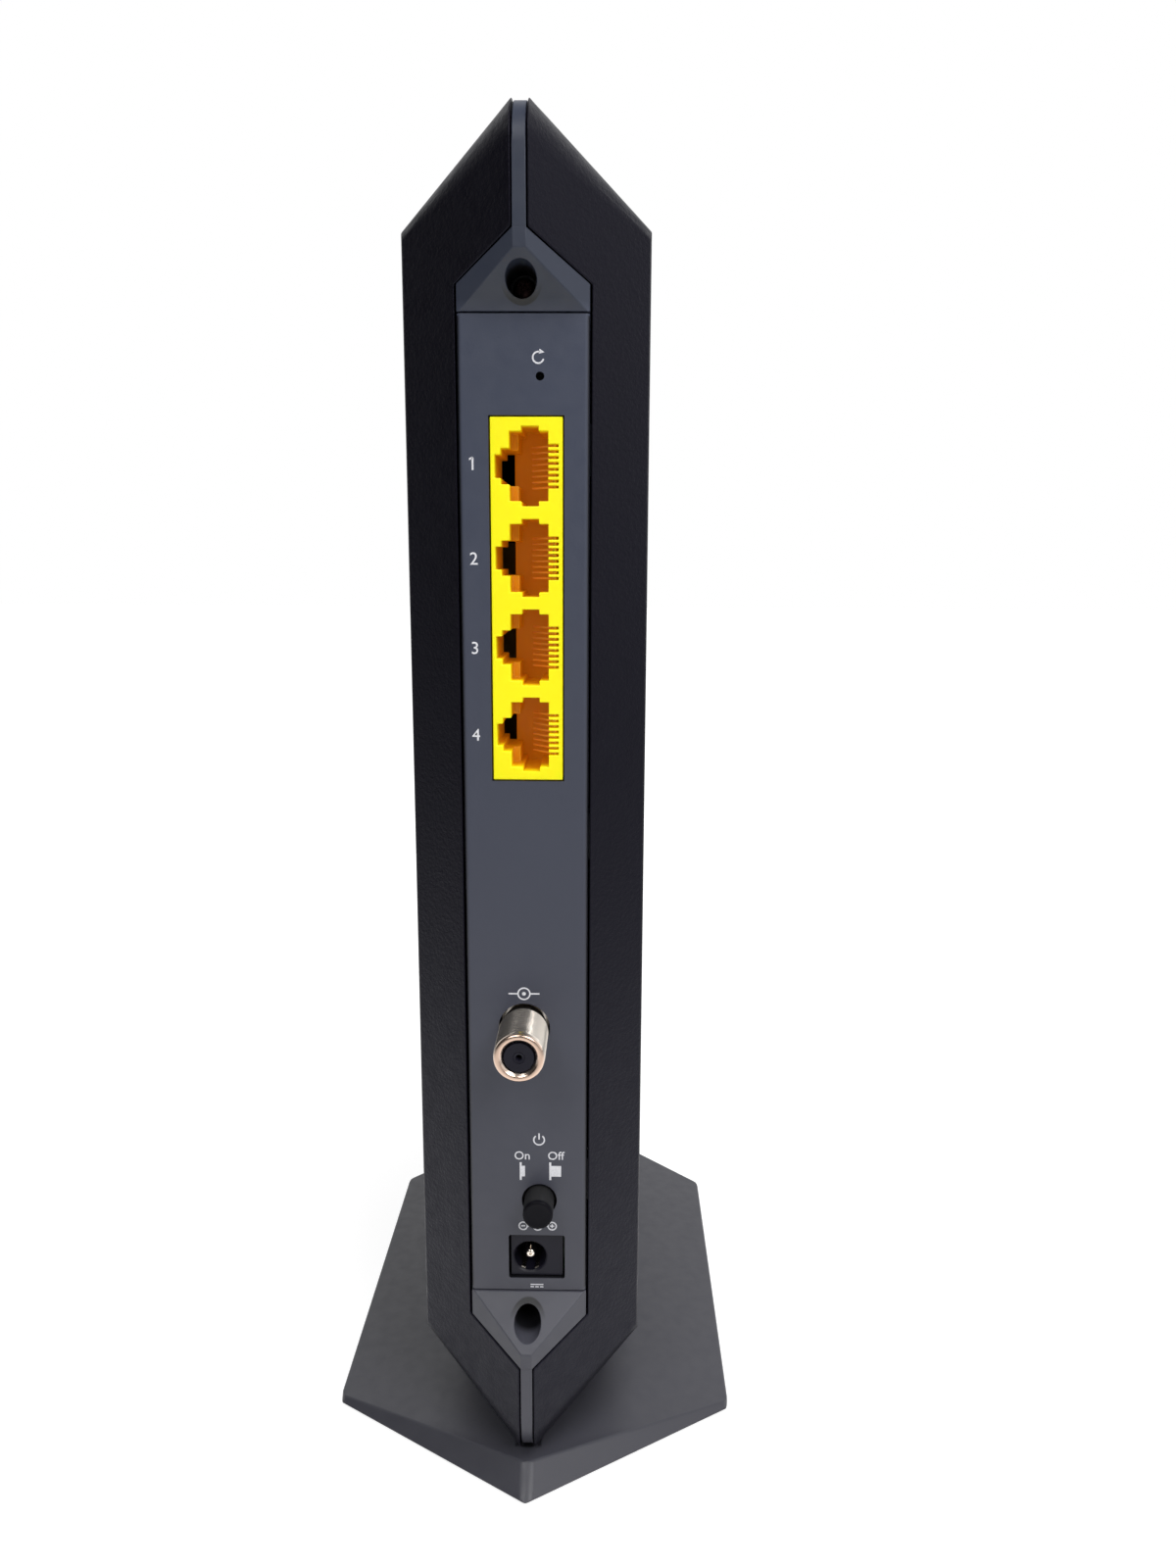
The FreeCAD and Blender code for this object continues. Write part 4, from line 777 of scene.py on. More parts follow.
def drawn(
    mesh: Mesh, profile: Sequence[Flat], origin: Vector, side: Vector, axis: Vector
) -> list[bmesh.types.BMVert]:
    """Corners of a profile, from their distance to an axis and their reach along it."""
    return [
        mesh.verts.new(origin + side * (radius * MM) + axis * (reach * MM))
        for radius, reach in profile
    ]


def shares_of(radius: float, profile: Sequence[Flat]) -> list[Flat]:
    """Profile corners whose radii are given as shares of one radius."""
    return [(radius * share, reach) for share, reach in profile]


def turned(profile: Sequence[Flat], origin: Vector, axis: Vector, steps: int = 72) -> Mesh:
    """Spin a profile round an axis.

    Args:
        profile: Radius and reach along the axis of each corner, in millimetres.
        origin: Point on the axis, in metres.
        axis: Direction of the axis.
        steps: Number of steps in the full turn.

    Returns:
        The turned mesh, with its poles closed.
    """
    mesh = bmesh.new()
    corners = drawn(mesh, profile, origin, axis.orthogonal().normalized(), axis)
    edges = [mesh.edges.new(pair) for pair in zip(corners, corners[1:])]
    bmesh.ops.spin(
        mesh, geom=[*corners, *edges], cent=origin, axis=axis,
        angle=math.tau, steps=steps, use_merge=True,
    )
    bmesh.ops.remove_doubles(mesh, verts=mesh.verts, dist=MERGE)
    bmesh.ops.recalc_face_normals(mesh, faces=mesh.faces)
    return mesh


def pushed(mesh: Mesh, face: Face, move: Vector) -> Face:
    """Extrude one face and return the face at the far end.

    Args:
        mesh: The face's mesh.
        face: The face.
        move: How far and which way it goes, in metres.

    Returns:
        The face at the far end.
    """
    grown = bmesh.ops.extrude_face_region(mesh, geom=[face])["geom"]
    bmesh.ops.translate(mesh, vec=move, verts=corners_of(grown))
    return next(item for item in grown if isinstance(item, Face))


def plate(outline: Iterable[Vector], push: Vector) -> Mesh:
    """Flat outline pushed into a solid.

    Args:
        outline: Corners of the flat face, in metres.
        push: How far and which way it is pushed.

    Returns:
        The closed mesh.
    """
    mesh = bmesh.new()
    face = mesh.faces.new([mesh.verts.new(corner) for corner in outline])
    pushed(mesh, face, push)
    bmesh.ops.recalc_face_normals(mesh, faces=mesh.faces)
    return mesh


def gathered(parts: Iterable[Mesh]) -> Mesh:
    """Put several meshes into one and free them.

    Args:
        parts: The meshes, which are freed.

    Returns:
        One mesh that holds them all.
    """
    whole = bmesh.new()
    for part in parts:
        data = bpy.data.meshes.new("gathered")
        part.to_mesh(data)
        part.free()
        whole.from_mesh(data)
        bpy.data.meshes.remove(data)
    return whole


def repeated(part: Mesh, moves: Sequence[Vector]) -> Mesh:
    """Copies of a mesh, one for each move, in place of the first.

    Args:
        part: The mesh, which changes.
        moves: Shift of each copy, in metres.

    Returns:
        The same mesh with every copy in it.
    """
    start = [*part.verts, *part.edges, *part.faces]
    for move in moves[1:]:
        copy = bmesh.ops.duplicate(part, geom=start)["geom"]
        bmesh.ops.translate(part, vec=move, verts=corners_of(copy))
    bmesh.ops.translate(part, vec=moves[0], verts=corners_of(start))
    return part


def plain_object(name: str, mesh: Mesh, crease: float = CREASE) -> bpy.types.Object:
    """Object from a mesh, smooth apart from its creases.

    Args:
        name: The object's name.
        mesh: Its mesh, which is freed.
        crease: Angle in degrees from which an edge stays sharp.

    Returns:
        The linked object.
    """
    limit = math.radians(crease)
    for face in mesh.faces:
        face.smooth = True
    for edge in mesh.edges:
        edge.smooth = edge.is_manifold and edge.calc_face_angle(math.pi) < limit
    data = bpy.data.meshes.new(name)
    mesh.to_mesh(data)
    mesh.free()
    if "custom_normal" in data.attributes:
        data.attributes.remove(data.attributes["custom_normal"])
    return placed(name, data)


def carved(mesh: Mesh, cutter: Mesh) -> Mesh:
    """Cut one closed mesh out of another.

    Args:
        mesh: The mesh that is cut, which is freed.
        cutter: The mesh that cuts, which is freed.

    Returns:
        The cut mesh.
    """
    blank, tool = plain_object("blank", mesh), plain_object("tool", cutter)
    cut = blank.modifiers.new("cut", "BOOLEAN")
    cut.operation, cut.solver, cut.object = "DIFFERENCE", "EXACT", tool
    evaluated = blank.evaluated_get(bpy.context.evaluated_depsgraph_get())
    result = bmesh.new()
    result.from_mesh(evaluated.to_mesh())
    evaluated.to_mesh_clear()
    for used in (blank, tool):
        data = used.data
        bpy.data.objects.remove(used)
        bpy.data.meshes.remove(data)
    return result


class Bench:
    """Where pieces get their finish, their body and the solids they stand for."""

    def __init__(self, nodes: dict[str, bpy.types.Object]) -> None:
        """Make every material.

        Args:
            nodes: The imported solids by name.
        """
        self.nodes = nodes
        self.materials = {finish.slot: finish.build() for finish in FINISHES}
        self.ink = ink_material()
        self.count = 0

    def add(
        self, name: str, mesh: Mesh, slot: Slot, replaces: Sequence[str] = (),
        body: Body = Body.ROUTER, crease: float = CREASE,
    ) -> bpy.types.Object:
        """Finish a mesh as a piece of the product.

        Args:
            name: The piece's name.
            mesh: Its mesh, which is freed.
            slot: The material slot it takes its finish from.
            replaces: Names of the solids it stands for.
            body: The body it rides on.
            crease: Angle in degrees from which an edge stays sharp.

        Returns:
            The piece.
        """
        piece = plain_object(name, mesh, crease)
        coat(piece, self.materials[slot])
        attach(piece, body.value)
        if replaces:
            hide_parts(*replaces)
        self.count += 1
        LOG.info("%s: %d faces, rides on %s", name, len(piece.data.polygons), body.value)
        return piece

    def merged(self, node: str) -> Mesh:
        """Copy of a solid's mesh with its loose triangles merged into flat faces.

        Args:
            node: Name of the solid.

        Returns:
            The new mesh.
        """
        mesh = bmesh.new()
        mesh.from_mesh(self.nodes[node].data)
        bmesh.ops.remove_doubles(mesh, verts=mesh.verts, dist=MERGE)
        bmesh.ops.dissolve_limit(
            mesh, angle_limit=FLAT_ANGLE, verts=mesh.verts, edges=mesh.edges
        )
        hollow = [face for face in mesh.faces if self.is_hollow(face)]
        bmesh.ops.connect_verts_concave(mesh, faces=hollow)
        return mesh

    @staticmethod
    def is_hollow(face: bmesh.types.BMFace) -> bool:
        """Whether a face's outline turns inwards anywhere."""
        for loop in face.loops:
            before = (loop.vert.co - loop.link_loop_prev.vert.co).normalized()
            after = (loop.link_loop_next.vert.co - loop.vert.co).normalized()
            if before.cross(after).dot(face.normal) < -INWARD_TURN:
                return True
        return False

    def softened(
        self, node: str, slot: Slot, width: float, segments: int = 2,
        wider: Callable[[Vector, Vector], float] | None = None,
    ) -> bpy.types.Object:
        """Copy of a solid whose edges are softened, which stands for it.

        Args:
            node: Name of the solid.
            slot: The material slot it takes its finish from.
            width: Width of the softening in millimetres.
            segments: Faces across each softened edge.
            wider: Width of the softening of an edge between two ends, in
                millimetres, where it isn't the common one, or 0; below 0
                the edge stays as it is.

        Returns:
            The piece.
        """
        mesh = self.merged(node)
        mesh.edges.index_update()
        widths: dict[int, float] = {}
        for edge in mesh.edges:
            if not edge.is_manifold or edge.calc_face_angle(0.0) < SOFT_ANGLE:
                continue
            ends = [vert.co / MM for vert in edge.verts]
            special = wider(*ends) if wider else 0.0
            if special < 0.0:
                continue
            room = min(e.calc_length() for vert in edge.verts for e in vert.link_edges) / MM
            widths[edge.index] = special or min(width, room * ROOM_SHARE)
        widest = max(widths.values())
        weights = mesh.edges.layers.float.new("bevel_weight_edge")
        mesh.edges.ensure_lookup_table()
        for index, share in widths.items():
            mesh.edges[index][weights] = share / widest
        piece = self.add(f"{node}_dressed", mesh, slot, (node,))
        configured(
            piece.modifiers.new("soft_edges", "BEVEL"), width=widest * MM, segments=segments,
            limit_method="WEIGHT", use_clamp_overlap=False, loop_slide=False,
            miter_outer="MITER_SHARP", face_strength_mode="FSTR_ALL",
        )
        configured(
            piece.modifiers.new("even_shading", "WEIGHTED_NORMAL"), keep_sharp=True,
            use_face_influence=True,
        )
        return piece

    def keep(self, slot: Slot, *nodes: str) -> None:
        """Keep solids as they are and give them their finish."""
        for node in nodes:
            coat(self.nodes[node], self.materials[slot])
            LOG.info("%s: kept, finish %s", node, slot.value)


def middle(node: str) -> Vector:
    """Centre of a solid's box, in metres."""
    low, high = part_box(node)
    return (low + high) / 2



def front(node: str) -> tuple[Vector, float, float]:
    """Front of a solid that lies along Y.

    Args:
        node: Name of the solid.

    Returns:
        The middle of its front face in metres, then its half width and its
        length in millimetres.
    """
    low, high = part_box(node)
    face = middle(node)
    face.y = low.y
    return face, (high.x - low.x) / MM / 2, (high.y - low.y) / MM


# ---------------------------------------------------------------- housing
@dataclass
class Housing:
    """Side covers, spine frame and connector panel."""

    cover_edge: float = 0.3
    frame_edge: float = 0.16
    rounded_from: float = 20.5

    def spared(self, start: Vector, end: Vector) -> float:
        """Leave the covers' outer sides, which the solids round already."""
        return -1.0 if min(abs(start.x), abs(end.x)) > self.rounded_from else 0.0

    def build(self, bench: Bench) -> None:
        """Make the pieces on the bench.

        Args:
            bench: Where the pieces get their finish and their body.
        """
        for node in ("left_cover", "right_cover"):
            bench.softened(node, Slot.COVER_BLACK, self.cover_edge, wider=self.spared)
        bench.softened("spine_frame", Slot.FRAME_GREY, self.frame_edge)
        bench.keep(Slot.FRAME_GREY, "io_panel")


@dataclass
class CaseScrews:
    """Two pan-head screws with a cross recess, deep in their tunnels."""

    head_radius: float = 2.0
    head_height: float = 1.9
    shank_radius: float = 1.25
    shank_end: float = 11.9
    taper: float = 0.9
    recess_reach: float = 1.25
    recess_width: float = 0.55
    recess_depth: float = 1.1
    recess_turn: float = 0.4

    def screw(self, head: Vector) -> Mesh:
        """One screw whose head starts at a point and that points along +Y.

        Args:
            head: Middle of the front of the head, in metres.

        Returns:
            The screw's mesh.
        """
        profile = [
            *shares_of(self.head_radius, (
                (0.0, 0.0), (0.6, 0.06), (0.85, 0.28), (0.97, 0.62), (1.0, 1.0),
                (1.0, self.head_height),
            )),
            *shares_of(self.shank_radius, (
                (1.0, self.head_height), (1.0, self.shank_end - self.taper),
                (0.7, self.shank_end), (0.0, self.shank_end),
            )),
        ]
        screw = turned(profile, head, Y_AXIS, steps=48)
        wide, thin, deep = self.recess_reach, self.recess_width / 2, self.recess_depth
        for half_x, half_z in ((wide, thin), (thin, wide)):
            tool = bar(point(-half_x, -1.0, -half_z), point(half_x, deep, half_z))
            screw = carved(screw, moved(tool, head, self.recess_turn, "Y"))
        return screw

    def build(self, bench: Bench) -> None:
        """Make both screws on the bench.

        Args:
            bench: Where the pieces get their finish and their body.
        """
        low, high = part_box("case_screws")
        centre_x, reach = middle("case_screws").x, self.head_radius * MM
        heights = (low.z + reach, high.z - reach)
        screws = gathered(self.screw(Vector((centre_x, low.y, z))) for z in heights)
        bench.add("case_screw_pair", screws, Slot.DARK_SCREW, ("case_screws",), crease=30.0)


# ---------------------------------------------------------------- network sockets
@dataclass
class NetworkSockets:
    """Yellow block of four sockets and its spring contacts."""

    ports: int = 4
    contacts: int = 8
    edge: float = 0.14
    wire_width: float = 0.4
    wire_height: float = 0.3
    bend_radius: float = 0.4
    bend_turn: float = 136.0
    wire_run: float = 4.1
    wire_inset: float = 0.3
    tip_share: tuple[float, float, float] = (0.8, 1.0, 0.7)

    def contact(self, top: float, bend: float, tail: float, tip: float) -> Mesh:
        """One bent contact in the plane Z = 0.

        Args:
            top: X of the wire's outer face in the comb, in metres.
            bend: Y of the foremost point of the bend.
            tail: Y of the wire's end under the block.
            tip: Y of the free end inside the socket.

        Returns:
            The contact's mesh.
        """
        mesh = bmesh.new()
        half, thick = self.wire_width * MM / 2, self.wire_height * MM
        corners = [(top, half), (top - thick, half), (top - thick, -half), (top, -half)]
        start = mesh.faces.new([mesh.verts.new((x, tail, z)) for x, z in corners])
        radius = self.bend_radius * MM
        turn = math.radians(self.bend_turn)
        front_face = pushed(mesh, start, Y_AXIS * (bend + radius - tail))
        centre = Vector((top - radius, bend + radius, 0.0))
        spun = bmesh.ops.spin(
            mesh, geom=[front_face, *front_face.edges, *front_face.verts], cent=centre,
            axis=Z_AXIS, angle=-turn, steps=9,
        )
        free = next(item for item in spun["geom_last"] if isinstance(item, Face))
        run = tip - bend
        end = pushed(mesh, free, Vector((-math.tan(math.pi - turn) * run, run, 0.0)))
        mesh.verts.ensure_lookup_table()
        bmesh.ops.scale(
            mesh, vec=self.tip_share, verts=end.verts,
            space=Matrix.Translation(-end.calc_center_median()),
        )
        bmesh.ops.recalc_face_normals(mesh, faces=mesh.faces)
        return mesh

    def build(self, bench: Bench) -> None:
        """Make the block and the four contact sets on the bench.

        Args:
            bench: Where the pieces get their finish and their body.
        """
        bench.softened("ethernet_jack", Slot.JACK_YELLOW, self.edge)
        half = self.wire_width * MM / 2
        for port in range(1, self.ports + 1):
            node = f"port_{port}_contacts"
            low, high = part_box(node)
            pitch = (high.z - low.z - 2 * half) / (self.contacts - 1)
            top, tip = high.x - self.wire_inset * MM, low.y + self.wire_run * MM
            wire = self.contact(top, low.y, high.y, tip)
            moves = [Vector((0, 0, low.z + half + pitch * n)) for n in range(self.contacts)]
            bench.add(f"port_{port}_wires", repeated(wire, moves), Slot.GOLD, (node,))


# ---------------------------------------------------------------- cable connector
@dataclass
class CableConnector:
    """Threaded barrel of the cable connector, its insulator and its contact."""

    crest: float = 4.7625
    root: float = 4.5
    pitch: float = 0.794
    tip_band: float = 0.75
    thread_end: float = 13.3
    neck: float = 4.3
    bore: float = 2.8
    clearance: float = 0.02
    collar: float = 5.96
    collar_gap: float = 3.2
    collar_edge: float = 0.25
    foot_half: float = 6.0
    foot_edge: float = 0.4
    overlap: float = 1.0
    steps: int = 44
    runout: float = 0.4

    def thread(self, tip: Vector) -> Mesh:
        """Helical thread that rises out of the barrel's root and sinks back into it.

        Args:
            tip: Middle of the barrel's front, in metres.

        Returns:
            The thread's mesh.
        """
        mesh = bmesh.new()
        pitch, root = self.pitch, self.root
        ridge = [
            (root, 0.0), (self.crest, pitch * 0.36), (self.crest, pitch * 0.52),
            (root, pitch * 0.88), (root, pitch),
        ]
        corners = drawn(mesh, ridge, tip + Y_AXIS * (self.tip_band * MM), Z_AXIS, Y_AXIS)
        edges = [mesh.edges.new(pair) for pair in zip(corners, corners[1:])]
        turns = (self.thread_end - self.tip_band) / pitch - 1.0
        count = round(turns * self.steps)
        bmesh.ops.spin(
            mesh, geom=[*corners, *edges], cent=tip, axis=Y_AXIS,
            dvec=Y_AXIS * (pitch / self.steps * MM), angle=math.tau * count / self.steps,
            steps=count,
        )
        bmesh.ops.remove_doubles(mesh, verts=mesh.verts, dist=MERGE)
        first, last = (tip.y + reach * MM for reach in (self.tip_band, self.thread_end))
        floor = root * MM
        for vert in mesh.verts:
            near = min(vert.co.y - first, last - vert.co.y) / (self.runout * MM)
            away = Vector((vert.co.x - tip.x, 0.0, vert.co.z - tip.z))
            reach = away.length
            if reach > floor and near < 1.0:
                kept = floor + (reach - floor) * max(near, 0.0)
                vert.co -= away * (1.0 - kept / reach)
        bmesh.ops.recalc_face_normals(mesh, faces=mesh.faces)
        return mesh

    def barrel(self, tip: Vector, panel: float) -> Mesh:
        """Barrel under the thread, from the tip to the collar behind the panel.

        Args:
            tip: Middle of its front, in metres.
            panel: Reach of the panel's face behind the tip, in millimetres.

        Returns:
            The barrel's mesh.
        """
        root, bore, crest = self.root - self.clearance, self.bore, self.crest
        profile = [
            (bore, 22.0), (bore, 1.1), (bore + 0.08, 0.9), (bore + 0.45, 0.42),
            (bore + 0.62, 0.3), (bore + 0.8, 0.06), (bore + 0.95, 0.0), (crest - 0.6, 0.0),
            (crest - 0.4, 0.06), (crest - 0.18, 0.26), (crest - 0.06, 0.52),
            (crest - 0.05, self.tip_band - 0.12), (root, self.tip_band),
            (root, self.thread_end), (self.neck, self.thread_end + 0.1),
            (self.neck, panel + 1.0), (bore, panel + 1.0),
        ]
        return turned(profile, tip, Y_AXIS, steps=88)

    def build(self, bench: Bench) -> None:
        """Make the connector's pieces on the bench.

        Args:
            bench: Where the pieces get their finish and their body.
        """
        low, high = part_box("coax_shell")
        axis = middle("coax_contact")
        tip = Vector((axis.x, low.y, axis.z))
        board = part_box("main_board")[0]
        panel = (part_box("io_panel")[0].y - tip.y) / MM
        start, end = panel + self.collar_gap, (board.y - tip.y) / MM + self.overlap
        collar = prism(
            self.collar / math.cos(math.pi / 6), end - start, 6,
            tip + point(0.0, (start + end) / 2, 0.0),
        )
        round_edges(collar, list(collar.edges), self.collar_edge)
        half = self.foot_half
        foot = bar(
            tip + point(-half, end, -half),
            Vector((board.x, high.y, axis.z + half * MM)), self.foot_edge,
        )
        pieces = [self.barrel(tip, panel), self.thread(tip), collar, foot]
        bench.add("cable_barrel", gathered(pieces), Slot.NICKEL, ("coax_shell",), crease=40.0)
        face, _, length = front("coax_insulator")
        edge = self.bore - self.clearance
        core = turned(
            [(0.0, 3.0), (0.5, 3.0), (0.5, 0.3), (0.62, 0.1), (0.95, 0.02), (1.0, 0.12),
             (1.12, 0.12), (1.18, 0.02), (edge, 0.0), (edge, length), (0.0, length)],
            Vector((axis.x, face.y, axis.z)), Y_AXIS,
        )
        bench.add("cable_core", core, Slot.BLACK_MOULDING, ("coax_insulator",))
        bench.keep(Slot.GOLD, "coax_contact")


# ---------------------------------------------------------------- power inlet
@dataclass
class PowerInlet:
    """Barrel-plug inlet: housing, centre pin and gripping tines."""

    pin_radius: float = 1.0
    bore_radius: float = 3.2
    tine_inset: float = 0.06
    tine_span: float = 18.0
    tine_angle: float = 28.0
    tine_length: float = 9.2
    slit_half: float = 0.11
    slit_floor: float = 0.3
    slit_end: float = 1.6

    def pin(self, tip: Vector, length: float) -> Mesh:
        """Hollow pin with a rounded tip, slit from above.

        Args:
            tip: Middle of its tip, in metres.
            length: Its length in millimetres.

        Returns:
            The pin's mesh.
        """
        profile = shares_of(self.pin_radius, (
            (0.0, 0.5), (0.24, 0.42), (0.26, 0.12), (0.34, 0.02), (0.52, 0.0), (0.72, 0.08),
            (0.88, 0.26), (0.97, 0.52), (1.0, 0.9), (1.0, length), (0.0, length),
        ))
        slit = bar(
            tip + point(-self.slit_half, -1.0, self.slit_floor),
            tip + point(self.slit_half, self.slit_end, self.pin_radius + 0.4),
        )
        return carved(turned(profile, tip, Y_AXIS, steps=40), slit)

    def tine(self, mouth: Vector, side: int, length: float) -> Mesh:
        """One tine that hugs the bore below the pin and bends inwards at its tip.

        Args:
            mouth: Middle of the bore's mouth, in metres.
            side: -1 for the left tine, 1 for the right one.
            length: Its reach into the bore, in millimetres.

        Returns:
            The tine's mesh.
        """
        mesh = bmesh.new()
        outer = self.bore_radius - self.tine_inset
        profile = [
            (outer - 0.34, 0.34), (outer - 0.16, 0.24), (outer, 0.9), (outer, length),
            (outer - 0.25, length), (outer - 0.25, 1.4),
        ]
        start = math.radians(-90.0 + side * (self.tine_angle - self.tine_span / 2))
        away = Vector((math.cos(start), 0.0, math.sin(start)))
        corners = drawn(mesh, profile, mouth, away, Y_AXIS)
        face = mesh.faces.new(corners)
        bmesh.ops.spin(
            mesh, geom=[face, *face.edges, *corners], cent=mouth, axis=-Y_AXIS,
            angle=math.radians(side * self.tine_span), steps=8,
        )
        bmesh.ops.recalc_face_normals(mesh, faces=mesh.faces)
        return mesh

    def build(self, bench: Bench) -> None:
        """Make the inlet's pieces on the bench.

        Args:
            bench: Where the pieces get their finish and their body.
        """
        bench.keep(Slot.BLACK_MOULDING, "inlet_housing")
        tip, _, length = front("inlet_pin")
        pin = self.pin(tip, length)
        bench.add("inlet_centre_pin", pin, Slot.NICKEL, ("inlet_pin",), crease=40.0)
        mouth = Vector((tip.x, front("inlet_housing")[0].y, tip.z))
        tines = gathered(self.tine(mouth, side, self.tine_length) for side in (-1, 1))
        bench.add("inlet_tines", tines, Slot.NICKEL, ("inlet_spring",), crease=40.0)


# ---------------------------------------------------------------- push buttons
@dataclass
class Buttons:
    """Power button, reset plunger and their switches."""

    cap_radius: float = 2.95
    collar_start: float = 8.3
    collar_width: float = 1.5
    socket: Flat = (2.3, 6.0)
    switch_edge: float = 0.3

    def build(self, bench: Bench) -> None:
        """Make the buttons and switches on the bench.

        Args:
            bench: Where the pieces get their finish and their body.
        """
        face, collar, length = front("power_button")
        start, end = self.collar_start, self.collar_start + self.collar_width
        radius, (wall, floor) = self.cap_radius, self.socket
        profile = [
            *shares_of(radius, (
                (0.0, 0.1), (0.5, 0.08), (0.78, 0.04), (0.86, 0.0), (0.93, 0.05),
                (0.985, 0.2), (1.0, 0.45), (1.0, start),
            )),
            (collar, start), (collar, end), (radius, end), (radius, length),
            (wall, length), (wall, floor), (0.0, floor),
        ]
        cap = turned(profile, face, Y_AXIS, steps=64)
        bench.add("power_cap", cap, Slot.BUTTON_BLACK, ("power_button",), Body.POWER_PUSH)
        bench.keep(Slot.BLACK_MOULDING, "power_plunger")
        for node in ("power_switch", "reset_switch"):
            bench.softened(node, Slot.BLACK_MOULDING, self.switch_edge)
        tip, radius, length = front("reset_plunger")
        profile = shares_of(radius, (
            (0.0, 0.0), (0.7, 0.02), (0.92, 0.12), (1.0, 0.35), (1.0, length), (0.0, length),
        ))
        stem = turned(profile, tip, Y_AXIS, steps=40)
        bench.add("reset_stem", stem, Slot.BUTTON_BLACK, ("reset_plunger",), Body.RESET_PUSH)


# ---------------------------------------------------------------- printed marks
# Half the width of a printed line, in millimetres.
HALF = 0.14


@dataclass(frozen=True)
class Symbol:
    """Parts of a printed symbol, in millimetres and degrees from its centre.

    A ring gives its centre along X and its radius, and an arc also its start
    and its turn.  A dot gives its centre along X and its radius.  A strip gives
    its lowest and highest X, then its lowest and highest Z.  An arrowhead gives
    its X, its Z, the angle it points along and its size.
    """

    rings: tuple[tuple[float, ...], ...] = ()
    dots: tuple[Flat, ...] = ()
    strips: tuple[tuple[float, float, float, float], ...] = ()
    arrows: tuple[tuple[float, float, float, float], ...] = ()


class Glyph(Enum):
    """Symbols that are printed on the panel."""

    POWER = Symbol(rings=((0.0, 1.05, 128.0, 284.0),), strips=((-HALF, HALF, 0.1, 1.4),))
    RESTART = Symbol(
        rings=((0.0, 0.95, 75.0, 270.0),), arrows=((0.48, 0.97, -10.0, 0.62),)
    )
    COAX = Symbol(
        rings=((0.0, 1.15),), dots=((0.0, 0.38),),
        strips=((-3.0, -1.15 - HALF, -HALF, HALF), (1.15 + HALF, 3.0, -HALF, HALF)),
    )
    DIRECT_CURRENT = Symbol(strips=(
        (-1.3, 1.3, 0.22, 0.42), (-1.3, -0.62, -0.3, -0.1), (-0.34, 0.34, -0.3, -0.1),
        (0.62, 1.3, -0.3, -0.1),
    ))
    BUTTON_IN = Symbol(strips=((-0.2, 0.2, -1.9, 1.9), (0.2, 0.85, -1.15, 1.15)))
    BUTTON_OUT = Symbol(strips=((-0.2, 0.2, -1.9, 1.9), (0.2, 2.15, -1.15, 1.15)))
    POLARITY = Symbol(
        rings=((-2.9, 0.82), (0.0, 0.9, 120.0, 300.0), (2.9, 0.82)), dots=((0.0, 0.4),),
        strips=(
            (-3.3, -2.5, -HALF, HALF), (-2.08 + HALF, -0.9 - HALF, -HALF, HALF),
            (1.1, 2.08 - HALF, -HALF, HALF), (2.5, 3.3, -HALF, HALF),
            (2.9 - HALF, 2.9 + HALF, -0.42, -HALF), (2.9 - HALF, 2.9 + HALF, HALF, 0.42),
        ),
    )


@dataclass(frozen=True)
class Mark:
    """One printed mark and its place beside a solid, in millimetres."""

    what: Glyph | str
    node: str
    across: float
    up: float


MARKS: tuple[Mark, ...] = (
    Mark(Glyph.RESTART, "reset_plunger", -0.3, 3.1),
    Mark(Glyph.COAX, "coax_contact", 0.0, 7.0),
    Mark(Glyph.POWER, "power_button", 0.0, 13.0),
    Mark("On", "power_button", -3.35, 9.7),
    Mark("Off", "power_button", 3.3, 9.7),
    Mark(Glyph.BUTTON_IN, "power_button", -3.67, 6.27),
    Mark(Glyph.BUTTON_OUT, "power_button", 2.2, 6.3),
    Mark(Glyph.POLARITY, "inlet_housing", 0.2, 6.83),
    Mark(Glyph.DIRECT_CURRENT, "inlet_housing", 0.0, -6.5),
)


